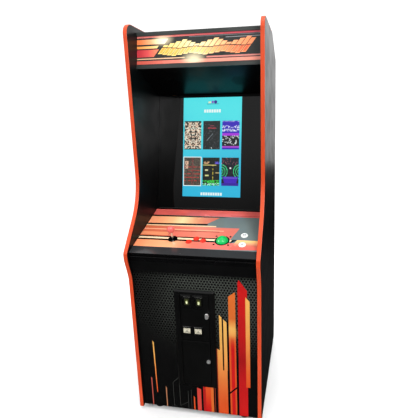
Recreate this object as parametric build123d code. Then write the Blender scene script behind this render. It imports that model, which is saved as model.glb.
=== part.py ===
"""Upright arcade cabinet with one player position, as an assembly of separate pieces.

Units are millimetres.  +Z is up, the player stands on the -Y side, and the origin is on the
floor, under the middle of the cabinet.  Places in the side view are given as a depth, counted
backwards from the lower front edge of the side panels, and a height, counted from their lower
edge; point() turns the pair into Y and Z.
"""

import os
from math import atan2, cos, hypot, pi, radians, sin, tan

from build123d import *

# ---------------------------------------------------------------- driving dimensions
WIDTH = 610.0  # over both side panels
SIDE_HEIGHT = 1801.0  # side panel, lower edge to top edge
BACK_DEPTH = 688.0  # lower front edge to back edge
NOSE_REACH = 28.0  # the nose of the side panel stands this far in front of its lower edge
FOOT_LIFT = 18.0  # gap under the side panels
BOARD = 18.0  # thickness of every wooden board
RUN = 0.05  # radial clearance of a turning or sliding fit
GAP = 1.0  # gap beside a panel that moves

# side view of the side panel
LOWER_EDGE_TOP = 690.0
NOSE_LOW = 790.0
NOSE_HIGH = 820.5
SLOPE_END = (72.0, 944.0)  # straight slope over the nose ends here
CURVE_END = (144.0, 1160.0)  # and the hollow curve ends here
FRONT_TOP = (135.5, 1753.0)
TOP_CORNER_RADIUS = 48.0
TOP_FLAT_END = 470.0
BACK_TOP = 1700.0
MOULDING_CAP = 3.0
MOULDING_BARB = (8.0, 1.6)  # depth and thickness
GROOVE_PLAY = 0.2

# boards between the side panels
BASE_HEIGHT = 40.0
KICK_DEPTH = 12.0
KICK_LOW = 8.0
KICK_TOP = 731.0
APRON_TOP = (-9.0, 801.0)
APRON_LOW = (0.0, 731.0)
ROOF_TOP = 1778.0
ROOF_FRONT = 240.0
BACK_INSET = 2.0
BACK_FRONT = BACK_DEPTH - BACK_INSET - BOARD
SLOPE_START = (472.0, ROOF_TOP)
SLOPE_HEIGHT_LOSS = 90.9  # the rear slope board drops this much to the back panel
BATTEN = 20.0
SCREW_RADIUS = 2.0
SCREW_HEIGHTS = (90.0, 300.0, 700.0, 1100.0, 1500.0)
FOOT_PLACES = [(x, depth) for x in (-217.0, 217.0) for depth in (55.0, 625.0)]
STEM_RADIUS = 5.0

# control panel: its top face starts at PANEL_FRONT and rises to PANEL_BACK
PANEL_FRONT = (-15.0, 822.0)
PANEL_BACK = (326.0, 938.0)
HINGE_PIVOT = (-13.0, 803.0)
JOYSTICK = (-116.0, 110.0)  # across, and back along the panel
RED_BUTTONS = {"left": (-34.6, 94.0), "middle": (-5.0, 118.0), "right": (29.5, 106.0)}
START_BUTTONS = {"one": (212.5, 90.0), "two": (212.5, 157.0)}
TRACKBALL = (117.0, 113.0)
KNUCKLES = 13
KNUCKLE_RADIUS = 3.0
HINGE_PIN_RADIUS = 1.0
RED_SIZE = (14.5, 12.0, 10.4)  # rim, barrel and plunger radius
WHITE_SIZE = (16.5, 14.0, 12.4)
BARREL_LENGTH = 32.0
BUTTON_TRAVEL = 3.0
STICK_HOLE = 12.5
STICK_BALL = (17.5, 54.0)  # radius, and height above the panel
PIVOT_DROP = 27.0  # joystick pivot below the panel's top face
BALL_RADIUS = 28.6
BALL_DROP = 7.0  # centre of the trackball below the panel's top face
COLLAR_RADIUS = 31.2  # ring of the trackball housing that shows round the ball
ROLLER_RADIUS = 5.0
TRACKBALL_BOLTS = [(x, y) for x in (-33.0, 33.0) for y in (-30.0, 30.0)]
BOLT_RADIUS = 2.5

# monitor glass, speaker panel and marquee
GLASS_LOW = (337.0, 942.0)
GLASS_HIGH = (450.0, 1516.0)
GLASS_THICK = 4.0
GLASS_SPAN = (-14.0, 584.0)  # lower and upper edge of the glass, up its own slope
HOUSING_FRONT = 8.0  # behind the front of the glass, as HOUSING_BACK is
HOUSING_BACK = 50.0
HOUSING_SIZE = (345.0, 548.0)
SCREEN_SIZE = (311.0, 514.0)
SCREEN_CENTRE = 317.0  # up the glass
MARQUEE_LOW = (207.0, 1618.0)
MARQUEE_HIGH = (237.0, 1791.0)
MARQUEE_SHEET = 3.0
SPEAKER_FRONT = (212.0, 1619.0)
SPEAKER_BACK = (448.0, 1518.0)
SPEAKER_BOARD = 15.0
SPEAKER_PLACES = (-165.0, 165.0)
SPEAKER_ALONG = 128.0

# coin door
DOOR_FRAME = (190.0, 498.0)  # width and height
DOOR_FRAME_LOW = 149.0
DOOR_OPENING_WIDTH = 140.0
DOOR_FLANGE = 16.0  # upper and lower margin
DOOR_SPLIT = 400.0
DOOR_SHEET = 2.0
DOOR_PROUD = 12.0  # the doors' faces stand this far in front of the kick panel
DOOR_HALF = DOOR_OPENING_WIDTH / 2 - GAP
SLEEVE_WALL = 4.0
SLEEVE_DEPTH = 45.0
SLEEVE_PLAY = 0.5  # between the sleeve and the cut-out in the kick panel
FLANGE_THICK = 10.0
TRAY_DEPTH = 12.0
BAR_HALF = 4.0  # half the bar between the two doors
PIN_X = -68.0
PIN_RADIUS = 1.2
DOOR_KNUCKLE = 2.5
LOCK_RADIUS = 8.0
LOCK_X = 59.0
CAM_REACH = 9.8
UPPER_LOCK_Z = 531.0 + FOOT_LIFT
LOWER_LOCK_Z = 295.0 + FOOT_LIFT
BEZEL_THICK = 4.5
ENTRY_PLACES = {"left": -36.5, "right": 19.0}
ENTRY_Z = 595.0 + FOOT_LIFT
ENTRY_SIZE = (46.0, 64.0)
REJECT_SHIFT = (6.0, 2.0)
REJECT_SIZE = (21.6, 30.6)
SLOT_SHIFT = -14.0  # the coin slot, beside the reject button
RETURN_PLACES = {"left": -37.5, "right": 16.0}
RETURN_Z = 450.0 + FOOT_LIFT
RETURN_SIZE = (46.0, 46.0)
FLAP_SIZE = (33.4, 25.4)
FLAP_PIN = 0.8

# rear door
REAR_DOOR = (460.0, 900.0)
REAR_DOOR_LOW = 340.0
REAR_LOCK_Z = REAR_DOOR_LOW + REAR_DOOR[1] - 30 + FOOT_LIFT
REAR_CAM_REACH = 40.0
REAR_PIN = (3.0, 12.0)  # radius, and reach past each end of the door
VENT_SLOT = (300.0, 7.0)
VENT_PITCH = 20.0
VENT_COUNT = 6

# inside
INLET = (-190.0, 130.0)  # X and Z of the power inlet
INLET_SIZE = (46.0, 28.0)
FLOOR = BASE_HEIGHT + BOARD
CASH_BOX = (144.0, 160.0, 190.0)
GAME_BOARD_X = 268.0
GAME_BOARD = ((300.0, 300.0), (520.0, 580.0))  # (depth, height) corners
GAME_BOARD_THICK = 1.6

HALF = WIDTH / 2
INNER = HALF - BOARD
Y_OF_FRONT = -(BACK_DEPTH + NOSE_REACH) / 2 + NOSE_REACH

os.makedirs("parts", exist_ok=True)


# ---------------------------------------------------------------- helpers
def point(depth, height):
    """Y and Z of a place in the side view."""
    return (depth + Y_OF_FRONT, height + FOOT_LIFT)


def side_face(outline):
    """Face in the YZ plane from (depth, height) corners."""
    corners = [point(*corner) for corner in outline]
    return make_face(Plane.YZ * Polyline(*corners, close=True))


def board(outline, low_x=-INNER, high_x=INNER):
    """Board of constant section across the cabinet."""
    return Pos(low_x, 0, 0) * extrude(side_face(outline), high_x - low_x, dir=(1, 0, 0))


def beside(start, end, thickness):
    """Corners of a strip from start to end, with its thickness to the left of that direction."""
    length = hypot(end[0] - start[0], end[1] - start[1])
    shift_depth = -(end[1] - start[1]) / length * thickness
    shift_height = (end[0] - start[0]) / length * thickness
    return [
        start,
        end,
        (end[0] + shift_depth, end[1] + shift_height),
        (start[0] + shift_depth, start[1] + shift_height),
    ]


def block(low, high):
    """Box from its lowest corner to its highest corner."""
    size = [top - bottom for bottom, top in zip(low, high)]
    centre = [(top + bottom) / 2 for bottom, top in zip(low, high)]
    return Pos(*centre) * Box(*size)


def placed_block(low_x, high_x, low, high):
    """Box given by its X limits and two (depth, height) corners."""
    low_y, low_z = point(*low)
    high_y, high_z = point(*high)
    return block((low_x, low_y, low_z), (high_x, high_y, high_z))


def disc(radius, low, high, x=0.0, y=0.0):
    """Upright cylinder between two heights."""
    return Pos(x, y, (low + high) / 2) * Cylinder(radius, high - low)


def rod_x(radius, low_x, high_x, y, z):
    """Cylinder along X."""
    return Pos((low_x + high_x) / 2, y, z) * Rot(0, 90, 0) * Cylinder(radius, high_x - low_x)


def rod_y(radius, low_y, high_y, x, z):
    """Cylinder along Y."""
    return Pos(x, (low_y + high_y) / 2, z) * Rot(90, 0, 0) * Cylinder(radius, high_y - low_y)


def slope_plane(low, high):
    """Plane through two side view places: X across, Y from low to high, Z out of the face."""
    angle = atan2(high[1] - low[1], high[0] - low[0])
    y, z = point(*low)
    return Plane(origin=(0, y, z), x_dir=(1, 0, 0), z_dir=(0, -sin(angle), cos(angle)))


def group(pieces):
    """Several separate solids in one node."""
    return Compound(children=[solid for piece in pieces for solid in piece.solids()])


def write(name, shape):
    """One STEP file for one node."""
    solids = shape.solids()
    whole = solids[0] if len(solids) == 1 else Compound(children=list(solids))
    export_step(whole, f"parts/{name}.step")


PANEL = slope_plane(PANEL_FRONT, PANEL_BACK)
GLASS = slope_plane(GLASS_LOW, GLASS_HIGH)
MARQUEE = slope_plane(MARQUEE_LOW, MARQUEE_HIGH)
SPEAKERS = slope_plane(SPEAKER_FRONT, SPEAKER_BACK)
PANEL_LENGTH = hypot(PANEL_BACK[0] - PANEL_FRONT[0], PANEL_BACK[1] - PANEL_FRONT[1])
KICK_FACE = point(KICK_DEPTH, 0)[0]
BACK_FACE = point(BACK_DEPTH - BACK_INSET, 0)[0]
DOOR_FACE = KICK_FACE - DOOR_PROUD
PIN_Y = DOOR_FACE - 2.3  # axis of both coin doors


def on(plane, shape):
    """A shape drawn on the XY plane, moved on to another plane."""
    return shape.moved(plane.location)


# ---------------------------------------------------------------- side panels and moulding
def side_outline():
    """The whole side silhouette, with the moulding, run on below the floor end of the panel."""
    below = -20.0
    start = (0.0, below)
    lines = [
        Line(point(*start), point(0, LOWER_EDGE_TOP)),
        Line(point(0, LOWER_EDGE_TOP), point(-NOSE_REACH, NOSE_LOW)),
        Line(point(-NOSE_REACH, NOSE_LOW), point(-NOSE_REACH, NOSE_HIGH)),
        Line(point(-NOSE_REACH, NOSE_HIGH), point(*SLOPE_END)),
    ]
    slope = (SLOPE_END[0] + NOSE_REACH, SLOPE_END[1] - NOSE_HIGH)
    hollow = TangentArc(point(*SLOPE_END), point(*CURVE_END), tangent=slope)
    corner_end = (FRONT_TOP[0] + TOP_CORNER_RADIUS, SIDE_HEIGHT)
    corner = TangentArc(point(*corner_end), point(*FRONT_TOP), tangent=(-1, 0))
    rest = Polyline(
        point(*corner_end),
        point(TOP_FLAT_END, SIDE_HEIGHT),
        point(BACK_DEPTH, BACK_TOP),
        point(BACK_DEPTH, below),
        point(*start),
    )
    edges = lines + [hollow, Line(point(*CURVE_END), point(*FRONT_TOP)), corner] + rest.edges()
    face = make_face(edges)
    bends = {
        (0.0, LOWER_EDGE_TOP): 150.0,
        (-NOSE_REACH, NOSE_LOW): 40.0,
        (-NOSE_REACH, NOSE_HIGH): 22.0,
        (TOP_FLAT_END, SIDE_HEIGHT): 60.0,
        (BACK_DEPTH, BACK_TOP): 20.0,
    }
    for place, radius in bends.items():
        target = Vector(*point(*place), 0)
        corner_vertex = min(face.vertices(), key=lambda vertex: (Vector(*vertex) - target).length)
        face = fillet(corner_vertex, radius)
    return face


def rectangle(low, high):
    """Face over a range of the side view."""
    low_y, low_z = point(*low)
    high_y, high_z = point(*high)
    centre = ((low_y + high_y) / 2, (low_z + high_z) / 2)
    return Pos(*centre) * Rectangle(high_y - low_y, high_z - low_z)


def across(face, low_x, high_x):
    """Solid from a side view face drawn in the XY plane, run from low_x to high_x."""
    return Pos(low_x, 0, 0) * extrude(Plane.YZ * face, high_x - low_x, dir=(1, 0, 0))


def make_sides():
    outline = side_outline()
    above_floor = rectangle((-100, 0), (BACK_DEPTH + 100, SIDE_HEIGHT + 100))
    moulded = rectangle((-100, 0), (TOP_FLAT_END - 30, SIDE_HEIGHT + 100))
    inner = offset(outline, -MOULDING_CAP, kind=Kind.INTERSECTION)
    barb_end = offset(outline, -MOULDING_CAP - MOULDING_BARB[0], kind=Kind.INTERSECTION)
    groove_depth = MOULDING_CAP + MOULDING_BARB[0] + GROOVE_PLAY
    groove_end = offset(outline, -groove_depth, kind=Kind.INTERSECTION)
    cap_face = (outline - inner) & moulded
    barb_face = (inner - barb_end) & moulded
    groove_face = (inner - groove_end) & moulded
    panel_face = (outline & above_floor) - cap_face
    barb_half = MOULDING_BARB[1] / 2
    for side, low_x in (("left", -HALF), ("right", HALF - BOARD)):
        middle = low_x + BOARD / 2
        panel = across(panel_face, low_x, low_x + BOARD)
        groove_half = barb_half + GROOVE_PLAY
        panel -= across(groove_face, middle - groove_half, middle + groove_half)
        cap = across(cap_face, low_x, low_x + BOARD)
        barb = across(barb_face, middle - barb_half, middle + barb_half)
        write(f"{side}_side_panel", panel)
        write(f"{side}_t_moulding", cap + barb)


# ---------------------------------------------------------------- wooden boards
def screw_places():
    """X and height of the screws that hold the back panel to its battens."""
    across_x = INNER - BATTEN / 2
    return [(x, height) for x in (-across_x, across_x) for height in SCREW_HEIGHTS]


def screw_holes():
    depth_y = point(BACK_FRONT, 0)[0]
    return [
        rod_y(SCREW_RADIUS, depth_y - BATTEN, BACK_FACE + 1, x, height + FOOT_LIFT)
        for x, height in screw_places()
    ]


def make_boards():
    base = placed_block(-INNER, INNER, (KICK_DEPTH + BOARD, BASE_HEIGHT), (BACK_FRONT, FLOOR))
    for x, depth in FOOT_PLACES:
        y, z = point(depth, BASE_HEIGHT)
        base -= disc(STEM_RADIUS + 0.2, z - 1, z + BOARD + 1, x, y)
    write("base_panel", base)

    kick = placed_block(-INNER, INNER, (KICK_DEPTH, KICK_LOW), (KICK_DEPTH + BOARD, KICK_TOP))
    sleeve_half = DOOR_OPENING_WIDTH / 2 + SLEEVE_WALL + SLEEVE_PLAY
    sleeve_low = DOOR_FRAME_LOW + DOOR_FLANGE - SLEEVE_WALL - SLEEVE_PLAY
    sleeve_high = DOOR_FRAME_LOW + DOOR_FRAME[1] - DOOR_FLANGE + SLEEVE_WALL + SLEEVE_PLAY
    cutout = placed_block(-sleeve_half, sleeve_half, (0, sleeve_low), (BOARD * 2, sleeve_high))
    write("front_kick_panel", kick - cutout)

    apron_back = [(depth + BOARD, height) for depth, height in (APRON_TOP, APRON_LOW)]
    write("control_panel_apron", board([APRON_LOW, APRON_TOP] + apron_back))

    slope_angle = atan2(SLOPE_HEIGHT_LOSS, BACK_FRONT - SLOPE_START[0])
    mitre = (SLOPE_START[0] - BOARD * tan(slope_angle / 2), ROOF_TOP - BOARD)
    write("roof_panel", board([(ROOF_FRONT, ROOF_TOP), SLOPE_START, mitre, (ROOF_FRONT, mitre[1])]))
    slope_end = (BACK_FRONT, ROOF_TOP - SLOPE_HEIGHT_LOSS)
    slope_under = (BACK_FRONT, slope_end[1] - BOARD / cos(slope_angle))
    write("rear_slope_panel", board([SLOPE_START, slope_end, slope_under, mitre]))


def make_back():
    low, high = REAR_DOOR_LOW, REAR_DOOR_LOW + REAR_DOOR[1]
    half = REAR_DOOR[0] / 2
    front_y = point(BACK_FRONT, 0)[0]
    panel = placed_block(-INNER, INNER, (BACK_FRONT, 20), (BACK_FRONT + BOARD, 1678))
    panel -= placed_block(-half - GAP, half + GAP, (BACK_FRONT - 1, low - 0.5), (BACK_DEPTH, high + GAP))
    pivot_y = (front_y + BACK_FACE) / 2
    pivot_z = low + BOARD / 2 + FOOT_LIFT
    pin_radius, pin_reach = REAR_PIN
    panel -= rod_x(pin_radius + RUN, -half - pin_reach - 1, half + pin_reach + 1, pivot_y, pivot_z)
    inlet_x, inlet_z = INLET
    inlet_half = (INLET_SIZE[0] / 2, INLET_SIZE[1] / 2)
    panel -= block(
        (inlet_x - inlet_half[0], front_y - 1, inlet_z - inlet_half[1]),
        (inlet_x + inlet_half[0], BACK_FACE + 1, inlet_z + inlet_half[1]),
    )
    for hole in screw_holes():
        panel -= hole
    write("back_panel", panel)

    door = block((-half, front_y, pivot_z), (half, BACK_FACE, high + FOOT_LIFT))
    door += rod_x(BOARD / 2, -half, half, pivot_y, pivot_z)
    door += rod_x(pin_radius, -half - pin_reach, half + pin_reach, pivot_y, pivot_z)
    slot_length, slot_height = VENT_SLOT
    for first in (low + 90, high - 260):
        for index in range(VENT_COUNT):
            middle = first + index * VENT_PITCH + FOOT_LIFT
            door -= block(
                (-slot_length / 2, front_y - 1, middle - slot_height / 2),
                (slot_length / 2, BACK_FACE + 1, middle + slot_height / 2),
            )
    door -= rod_y(LOCK_RADIUS + RUN, front_y - 1, BACK_FACE + 1, 0, REAR_LOCK_Z)
    write("rear_door", door)

    lock = rod_y(LOCK_RADIUS, front_y - 6, BACK_FACE + RUN, 0, REAR_LOCK_Z)
    lock += rod_y(LOCK_RADIUS + 3, BACK_FACE + RUN, BACK_FACE + 2, 0, REAR_LOCK_Z)
    lock -= block((-1, BACK_FACE, REAR_LOCK_Z - 4), (1, BACK_FACE + 3, REAR_LOCK_Z + 4))
    lock += block((-6, front_y - 4, REAR_LOCK_Z - 6), (REAR_CAM_REACH, front_y - 1.5, REAR_LOCK_Z + 6))
    write("rear_door_lock", lock)


def make_battens():
    """One batten behind each joint between a board and a side panel, and two rails for the display."""
    edge = INNER - BATTEN
    kick_back = KICK_DEPTH + BOARD
    under_roof = ROOF_TOP - BOARD
    panel_top = -BOARD - 0.5
    battens = []
    for low_x, high_x in ((-INNER, -edge), (edge, INNER)):
        battens += [
            placed_block(low_x, high_x, (BACK_FRONT - BATTEN, 60), (BACK_FRONT, 1640)),
            placed_block(low_x, high_x, (kick_back, 60), (kick_back + BATTEN, 700)),
            placed_block(low_x, high_x, (270, under_roof - BATTEN), (450, under_roof)),
            on(PANEL, block((low_x, 40, panel_top - BATTEN), (high_x, 330, panel_top))),
            on(GLASS, block((low_x, 20, -GLASS_THICK - BATTEN), (high_x, 560, -GLASS_THICK))),
        ]
    rail_back = -HOUSING_BACK - BOARD
    for along in (190, 440):
        rail = block((-INNER, along - BATTEN, rail_back), (INNER, along + BATTEN, -HOUSING_BACK))
        battens.append(on(GLASS, rail))
    fixed = []
    for batten in battens:
        for hole in screw_holes():
            batten -= hole
        fixed.append(batten)
    write("mounting_battens", group(fixed))


def make_screws():
    screws = []
    for x, height in screw_places():
        z = height + FOOT_LIFT
        shank = rod_y(SCREW_RADIUS, BACK_FACE - BOARD - BATTEN + 2, BACK_FACE, x, z)
        head = rod_y(SCREW_RADIUS * 2, BACK_FACE, BACK_FACE + 1.6, x, z)
        screws.append(shank + head)
    write("cabinet_screws", group(screws))


def make_feet():
    feet = []
    for x, depth in FOOT_PLACES:
        y = point(depth, 0)[0]
        pad = disc(19.0, 0, 6, x, y)
        pad += Pos(x, y, 9) * Cone(19.0, 9.0, 6.0)
        pad += disc(STEM_RADIUS, 12, FLOOR + FOOT_LIFT + 10, x, y)
        nut_top = BASE_HEIGHT + FOOT_LIFT
        nut = extrude(RegularPolygon(8.5, 6), 6)
        pad += Pos(x, y, nut_top - 6) * nut
        feet.append(pad)
    write("levelling_feet", group(feet))


# ---------------------------------------------------------------- monitor, marquee, speakers
def make_monitor():
    width = INNER - 0.5
    low_edge, high_edge = GLASS_SPAN
    write("monitor_glass", on(GLASS, block((-width, low_edge, -GLASS_THICK), (width, high_edge, 0))))
    half_x, half_y = SCREEN_SIZE[0] / 2, SCREEN_SIZE[1] / 2
    low, high = SCREEN_CENTRE - half_y, SCREEN_CENTRE + half_y
    panel_back = HOUSING_FRONT + 8
    screen = block((-half_x, low, -panel_back), (half_x, high, -HOUSING_FRONT - 1))
    write("monitor_screen", on(GLASS, screen))
    outer_x, outer_y = HOUSING_SIZE[0] / 2, HOUSING_SIZE[1] / 2
    shell = block(
        (-outer_x, SCREEN_CENTRE - outer_y, -HOUSING_BACK + 14),
        (outer_x, SCREEN_CENTRE + outer_y, -HOUSING_FRONT),
    )
    shell = fillet(shell.edges().filter_by(Axis.Z), 6)
    bulge_x, bulge_y = outer_x * 0.6, outer_y * 0.7
    shell += block(
        (-bulge_x, SCREEN_CENTRE - bulge_y, -HOUSING_BACK),
        (bulge_x, SCREEN_CENTRE + bulge_y, -HOUSING_BACK + 20),
    )
    shell -= block((-half_x, low, -panel_back), (half_x, high, 0))
    write("monitor_housing", on(GLASS, shell))


def make_marquee():
    write("marquee_panel", on(MARQUEE, block((-INNER + 1, 4, -MARQUEE_SHEET), (INNER - 1, 160, 0))))
    strips = []
    for strip_low, strip_high, leg_low, leg_high in ((4, 19, 1, 4), (145, 160, 160, 163)):
        strip = block((-INNER, strip_low, 0), (INNER, strip_high, 2.5))
        strip += block((-INNER, leg_low, -MARQUEE_SHEET - 1), (INNER, leg_high, 2.5))
        strips.append(on(MARQUEE, strip))
    write("marquee_retainers", group(strips))

    under_roof = ROOF_TOP - BOARD
    lamp = placed_block(-255, 255, (290, under_roof - 18), (330, under_roof))
    for x in (-250, 240):
        lamp += placed_block(x, x + 10, (298, under_roof - 52), (322, under_roof - 10))
    tube_y, tube_z = point(310, under_roof - 42)
    lamp += rod_x(8.0, -242, 242, tube_y, tube_z)
    write("marquee_lamp", lamp)


def make_speakers():
    length = hypot(SPEAKER_BACK[0] - SPEAKER_FRONT[0], SPEAKER_BACK[1] - SPEAKER_FRONT[1])
    panel = block((-INNER, 0, 0), (INNER, length, SPEAKER_BOARD))
    hole_pitch, hole_radius, grille_radius = 12.0, 3.0, 40.0
    rows = int(grille_radius / hole_pitch)
    holes = []
    for row in range(-rows, rows + 1):
        shift = hole_pitch / 2 if row % 2 else 0.0
        for column in range(-rows - 1, rows + 1):
            x = column * hole_pitch + shift
            y = row * hole_pitch * sin(pi / 3)
            if hypot(x, y) < grille_radius:
                holes.append((x, y))
    for centre in SPEAKER_PLACES:
        drills = [disc(hole_radius, -1, SPEAKER_BOARD + 1, centre + x, SPEAKER_ALONG + y) for x, y in holes]
        panel = panel.cut(*[drill.solid() for drill in drills])
    write("speaker_panel", on(SPEAKERS, Part() + panel))

    speakers = []
    for centre in SPEAKER_PLACES:
        top = SPEAKER_BOARD
        speaker = disc(51.0, top, top + 3, centre, SPEAKER_ALONG)
        speaker += Pos(centre, SPEAKER_ALONG, top + 18) * Cone(44.0, 26.0, 30.0)
        speaker += disc(30.0, top + 33, top + 50, centre, SPEAKER_ALONG)
        hollow = Pos(centre, SPEAKER_ALONG, top + 14) * Cone(41.0, 14.0, 28.0)
        speakers.append(on(SPEAKERS, speaker - hollow))
    write("speakers", group(speakers))


# ---------------------------------------------------------------- control panel
def knuckle_spans():
    """X limits of each hinge knuckle, from the left end."""
    pitch = 2 * (INNER - GAP) / KNUCKLES
    start = -INNER + GAP
    play = 0.15
    lefts = [start + index * pitch for index in range(KNUCKLES)]
    return [(left + play, left + pitch - play) for left in lefts]


def make_hinge():
    pivot_y, pivot_z = point(*HINGE_PIVOT)
    low_x, high_x = -INNER + GAP, INNER - GAP
    apron_lean = (APRON_TOP[0] - APRON_LOW[0]) / (APRON_TOP[1] - APRON_LOW[1])

    def apron_face(height):
        return (APRON_LOW[0] + (height - APRON_LOW[1]) * apron_lean, height)

    fixed = board(beside(apron_face(781), apron_face(799), 1.2), low_x, high_x)
    moving = on(PANEL, block((low_x, -1.2, -14), (high_x, 0, -2)))
    for index, (start, end) in enumerate(knuckle_spans()):
        barrel = rod_x(KNUCKLE_RADIUS, start, end, pivot_y, pivot_z)
        if index % 2 == 0:
            fixed += board(beside(apron_face(798), apron_face(802.5), 1.6), start, end) + barrel
        else:
            bore = rod_x(HINGE_PIN_RADIUS + RUN, start - 1, end + 1, pivot_y, pivot_z)
            tab = on(PANEL, block((start, -2.2, -19), (end, 0, -13)))
            moving += tab + barrel - bore
    fixed += rod_x(HINGE_PIN_RADIUS, low_x, high_x, pivot_y, pivot_z)
    write("control_panel_hinge", fixed)
    write("control_panel_hinge_leaf", moving)


def all_buttons():
    """Name, place and (rim, barrel, plunger) radius of each push button."""
    red = [(f"red_button_{name}", place, RED_SIZE) for name, place in RED_BUTTONS.items()]
    white = [(f"start_button_{name}", place, WHITE_SIZE) for name, place in START_BUTTONS.items()]
    return red + white


def make_control_panel():
    width = INNER - GAP
    panel = block((-width, 0, -BOARD), (width, PANEL_LENGTH - 2, 0))
    stick_x, stick_y = JOYSTICK
    ball_x, ball_y = TRACKBALL
    collar_hole = COLLAR_RADIUS + 0.1
    cuts = [
        disc(STICK_HOLE, -BOARD - 1, 1, stick_x, stick_y),
        disc(collar_hole, -BOARD - 1, 1, ball_x, ball_y),
    ]
    for _, (x, y), (_, barrel, _) in all_buttons():
        cuts.append(disc(barrel + 0.1, -BOARD - 1, 1, x, y))
    for x, y in TRACKBALL_BOLTS:
        cuts.append(disc(BOLT_RADIUS, -BOARD - 1, 1, ball_x + x, ball_y + y))
    for cut in cuts:
        panel -= cut
    write("control_panel", on(PANEL, panel))


def make_buttons():
    housings, nuts, switches = [], [], []
    for name, (x, y), (rim, barrel, plunger) in all_buttons():
        flange = disc(rim, 0, 2.6, x, y)
        flange = chamfer(flange.edges().group_by(Axis.Z)[-1], 1.2)
        housing = flange + disc(barrel, -BARREL_LENGTH, 0, x, y)
        housing -= disc(plunger + RUN, -BARREL_LENGTH + 2, 5, x, y)
        housings.append(on(PANEL, housing))
        nut = disc(barrel + 4, -BOARD - 6, -BOARD, x, y) - disc(barrel, -BOARD - 7, -BOARD + 1, x, y)
        nuts.append(on(PANEL, nut))
        switch_top = -BARREL_LENGTH
        switch = block((x - 10, y - 5, switch_top - 16), (x + 10, y + 5, switch_top))
        for terminal in (-7, 0, 7):
            tag_x = x + terminal
            switch += block((tag_x - 0.4, y - 2, switch_top - 22), (tag_x + 0.4, y + 2, switch_top - 15))
        switches.append(on(PANEL, switch))
        cap = disc(plunger, -BARREL_LENGTH + 2 + BUTTON_TRAVEL + 0.5, 5.4, x, y)
        cap = fillet(cap.edges().group_by(Axis.Z)[-1], 2.0)
        write(name, on(PANEL, cap))
    write("button_housings", group(housings))
    write("button_nuts", group(nuts))
    write("button_microswitches", group(switches))


def make_joystick():
    x, y = JOYSTICK
    pivot = -PIVOT_DROP
    plate_top = -BOARD
    mount = block((x - 48, y - 34, plate_top - 2.5), (x + 48, y + 34, plate_top))
    mount += block((x - 27, y - 27, -46), (x + 27, y + 27, plate_top - 2))
    mount -= block((x - 19, y - 19, -47), (x + 19, y + 19, plate_top - 2.5))
    mount -= disc(STICK_HOLE, -30, 1, x, y)
    ring_pin, reach = 2.0, 23.0
    mount -= Pos(x, y, pivot) * Rot(90, 0, 0) * Cylinder(ring_pin + RUN, 2 * reach + 1)
    plate = block((x - 27, y - 27, -50), (x + 27, y + 27, -46)) - disc(15, -51, -45, x, y)
    for dx, dy in ((20, 0), (-20, 0), (0, 20), (0, -20)):
        half_x, half_y = (5, 10) if dx else (10, 5)
        plate += Pos(x + dx, y + dy, -55) * Box(2 * half_x, 2 * half_y, 10)
    write("joystick_mount", on(PANEL, mount + plate))

    washer = disc(22, 0, 1.2, x, y) - disc(10.6, -1, 2, x, y)
    write("joystick_dust_washer", on(PANEL, washer))

    ring_outer, ring_inner, ring_half = 15.0, 11.0, 3.5
    gimbal = disc(ring_outer, pivot - ring_half, pivot + ring_half, x, y)
    gimbal += Pos(x, y, pivot) * Rot(90, 0, 0) * Cylinder(ring_pin, 2 * reach)
    gimbal -= disc(ring_inner, pivot - ring_half - 1, pivot + ring_half + 1, x, y)
    gimbal -= Pos(x, y, pivot) * Rot(0, 90, 0) * Cylinder(ring_pin + RUN, 2 * ring_outer + 2)
    write("joystick_gimbal", on(PANEL, gimbal))

    shaft_radius, shaft_top = 4.75, 40.0
    shaft = disc(shaft_radius, -52, shaft_top, x, y)
    shaft += Pos(x, y, pivot) * Sphere(8.0)
    shaft += Pos(x, y, pivot) * Rot(0, 90, 0) * Cylinder(ring_pin, 2 * ring_outer - 1)
    shaft += disc(7.5, -58, -48, x, y)
    write("joystick_shaft", on(PANEL, shaft))

    ball_radius, ball_height = STICK_BALL
    ball = Pos(x, y, ball_height) * Sphere(ball_radius)
    ball -= disc(shaft_radius, 30, shaft_top, x, y)
    write("joystick_ball_top", on(PANEL, ball))


def make_trackball():
    x, y = TRACKBALL
    centre = -BALL_DROP
    write("trackball", on(PANEL, Pos(x, y, centre) * Sphere(BALL_RADIUS)))

    reach = BALL_RADIUS + ROLLER_RADIUS + RUN
    tilt = radians(40)
    out, drop = reach * cos(tilt), centre - reach * sin(tilt)
    box = block((x - 42, y - 42, -62), (x + 42, y + 42, -BOARD))
    box += disc(COLLAR_RADIUS, -BOARD - 1, 1.4, x, y)
    box -= disc(29.3, -48, 2, x, y)
    for bolt_x, bolt_y in TRACKBALL_BOLTS:
        box -= disc(BOLT_RADIUS, -63, -BOARD + 1, x + bolt_x, y + bolt_y)
    drum_half, shaft_half, shaft_radius = 13.0, 22.0, 1.5
    turns = {"forward": Rot(0, 0, 90), "side": Rot(0, 0, 0)}
    for name, turn in turns.items():
        lying = turn * Pos(out, 0, drop) * Rot(90, 0, 0)
        place = Pos(x, y, 0)
        box -= place * lying * Cylinder(ROLLER_RADIUS + 1, 2 * drum_half + 2)
        box -= place * lying * Cylinder(shaft_radius + RUN, 2 * shaft_half + 1)
        roller = place * lying * Cylinder(ROLLER_RADIUS, 2 * drum_half)
        roller += place * lying * Cylinder(shaft_radius, 2 * shaft_half)
        write(f"trackball_{name}_roller", on(PANEL, roller))
    write("trackball_housing", on(PANEL, box))

    bolts = []
    for bolt_x, bolt_y in TRACKBALL_BOLTS:
        head = disc(4.6, 0, 2.0)
        head = fillet(head.edges().group_by(Axis.Z)[-1], 1.4)
        nut = Pos(0, 0, -66) * extrude(RegularPolygon(4.8, 6), 4)
        bolt = head + disc(BOLT_RADIUS, -68, 0) + nut
        bolts.append(on(PANEL, Pos(x + bolt_x, y + bolt_y, 0) * bolt))
    write("trackball_bolts", group(bolts))


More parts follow.
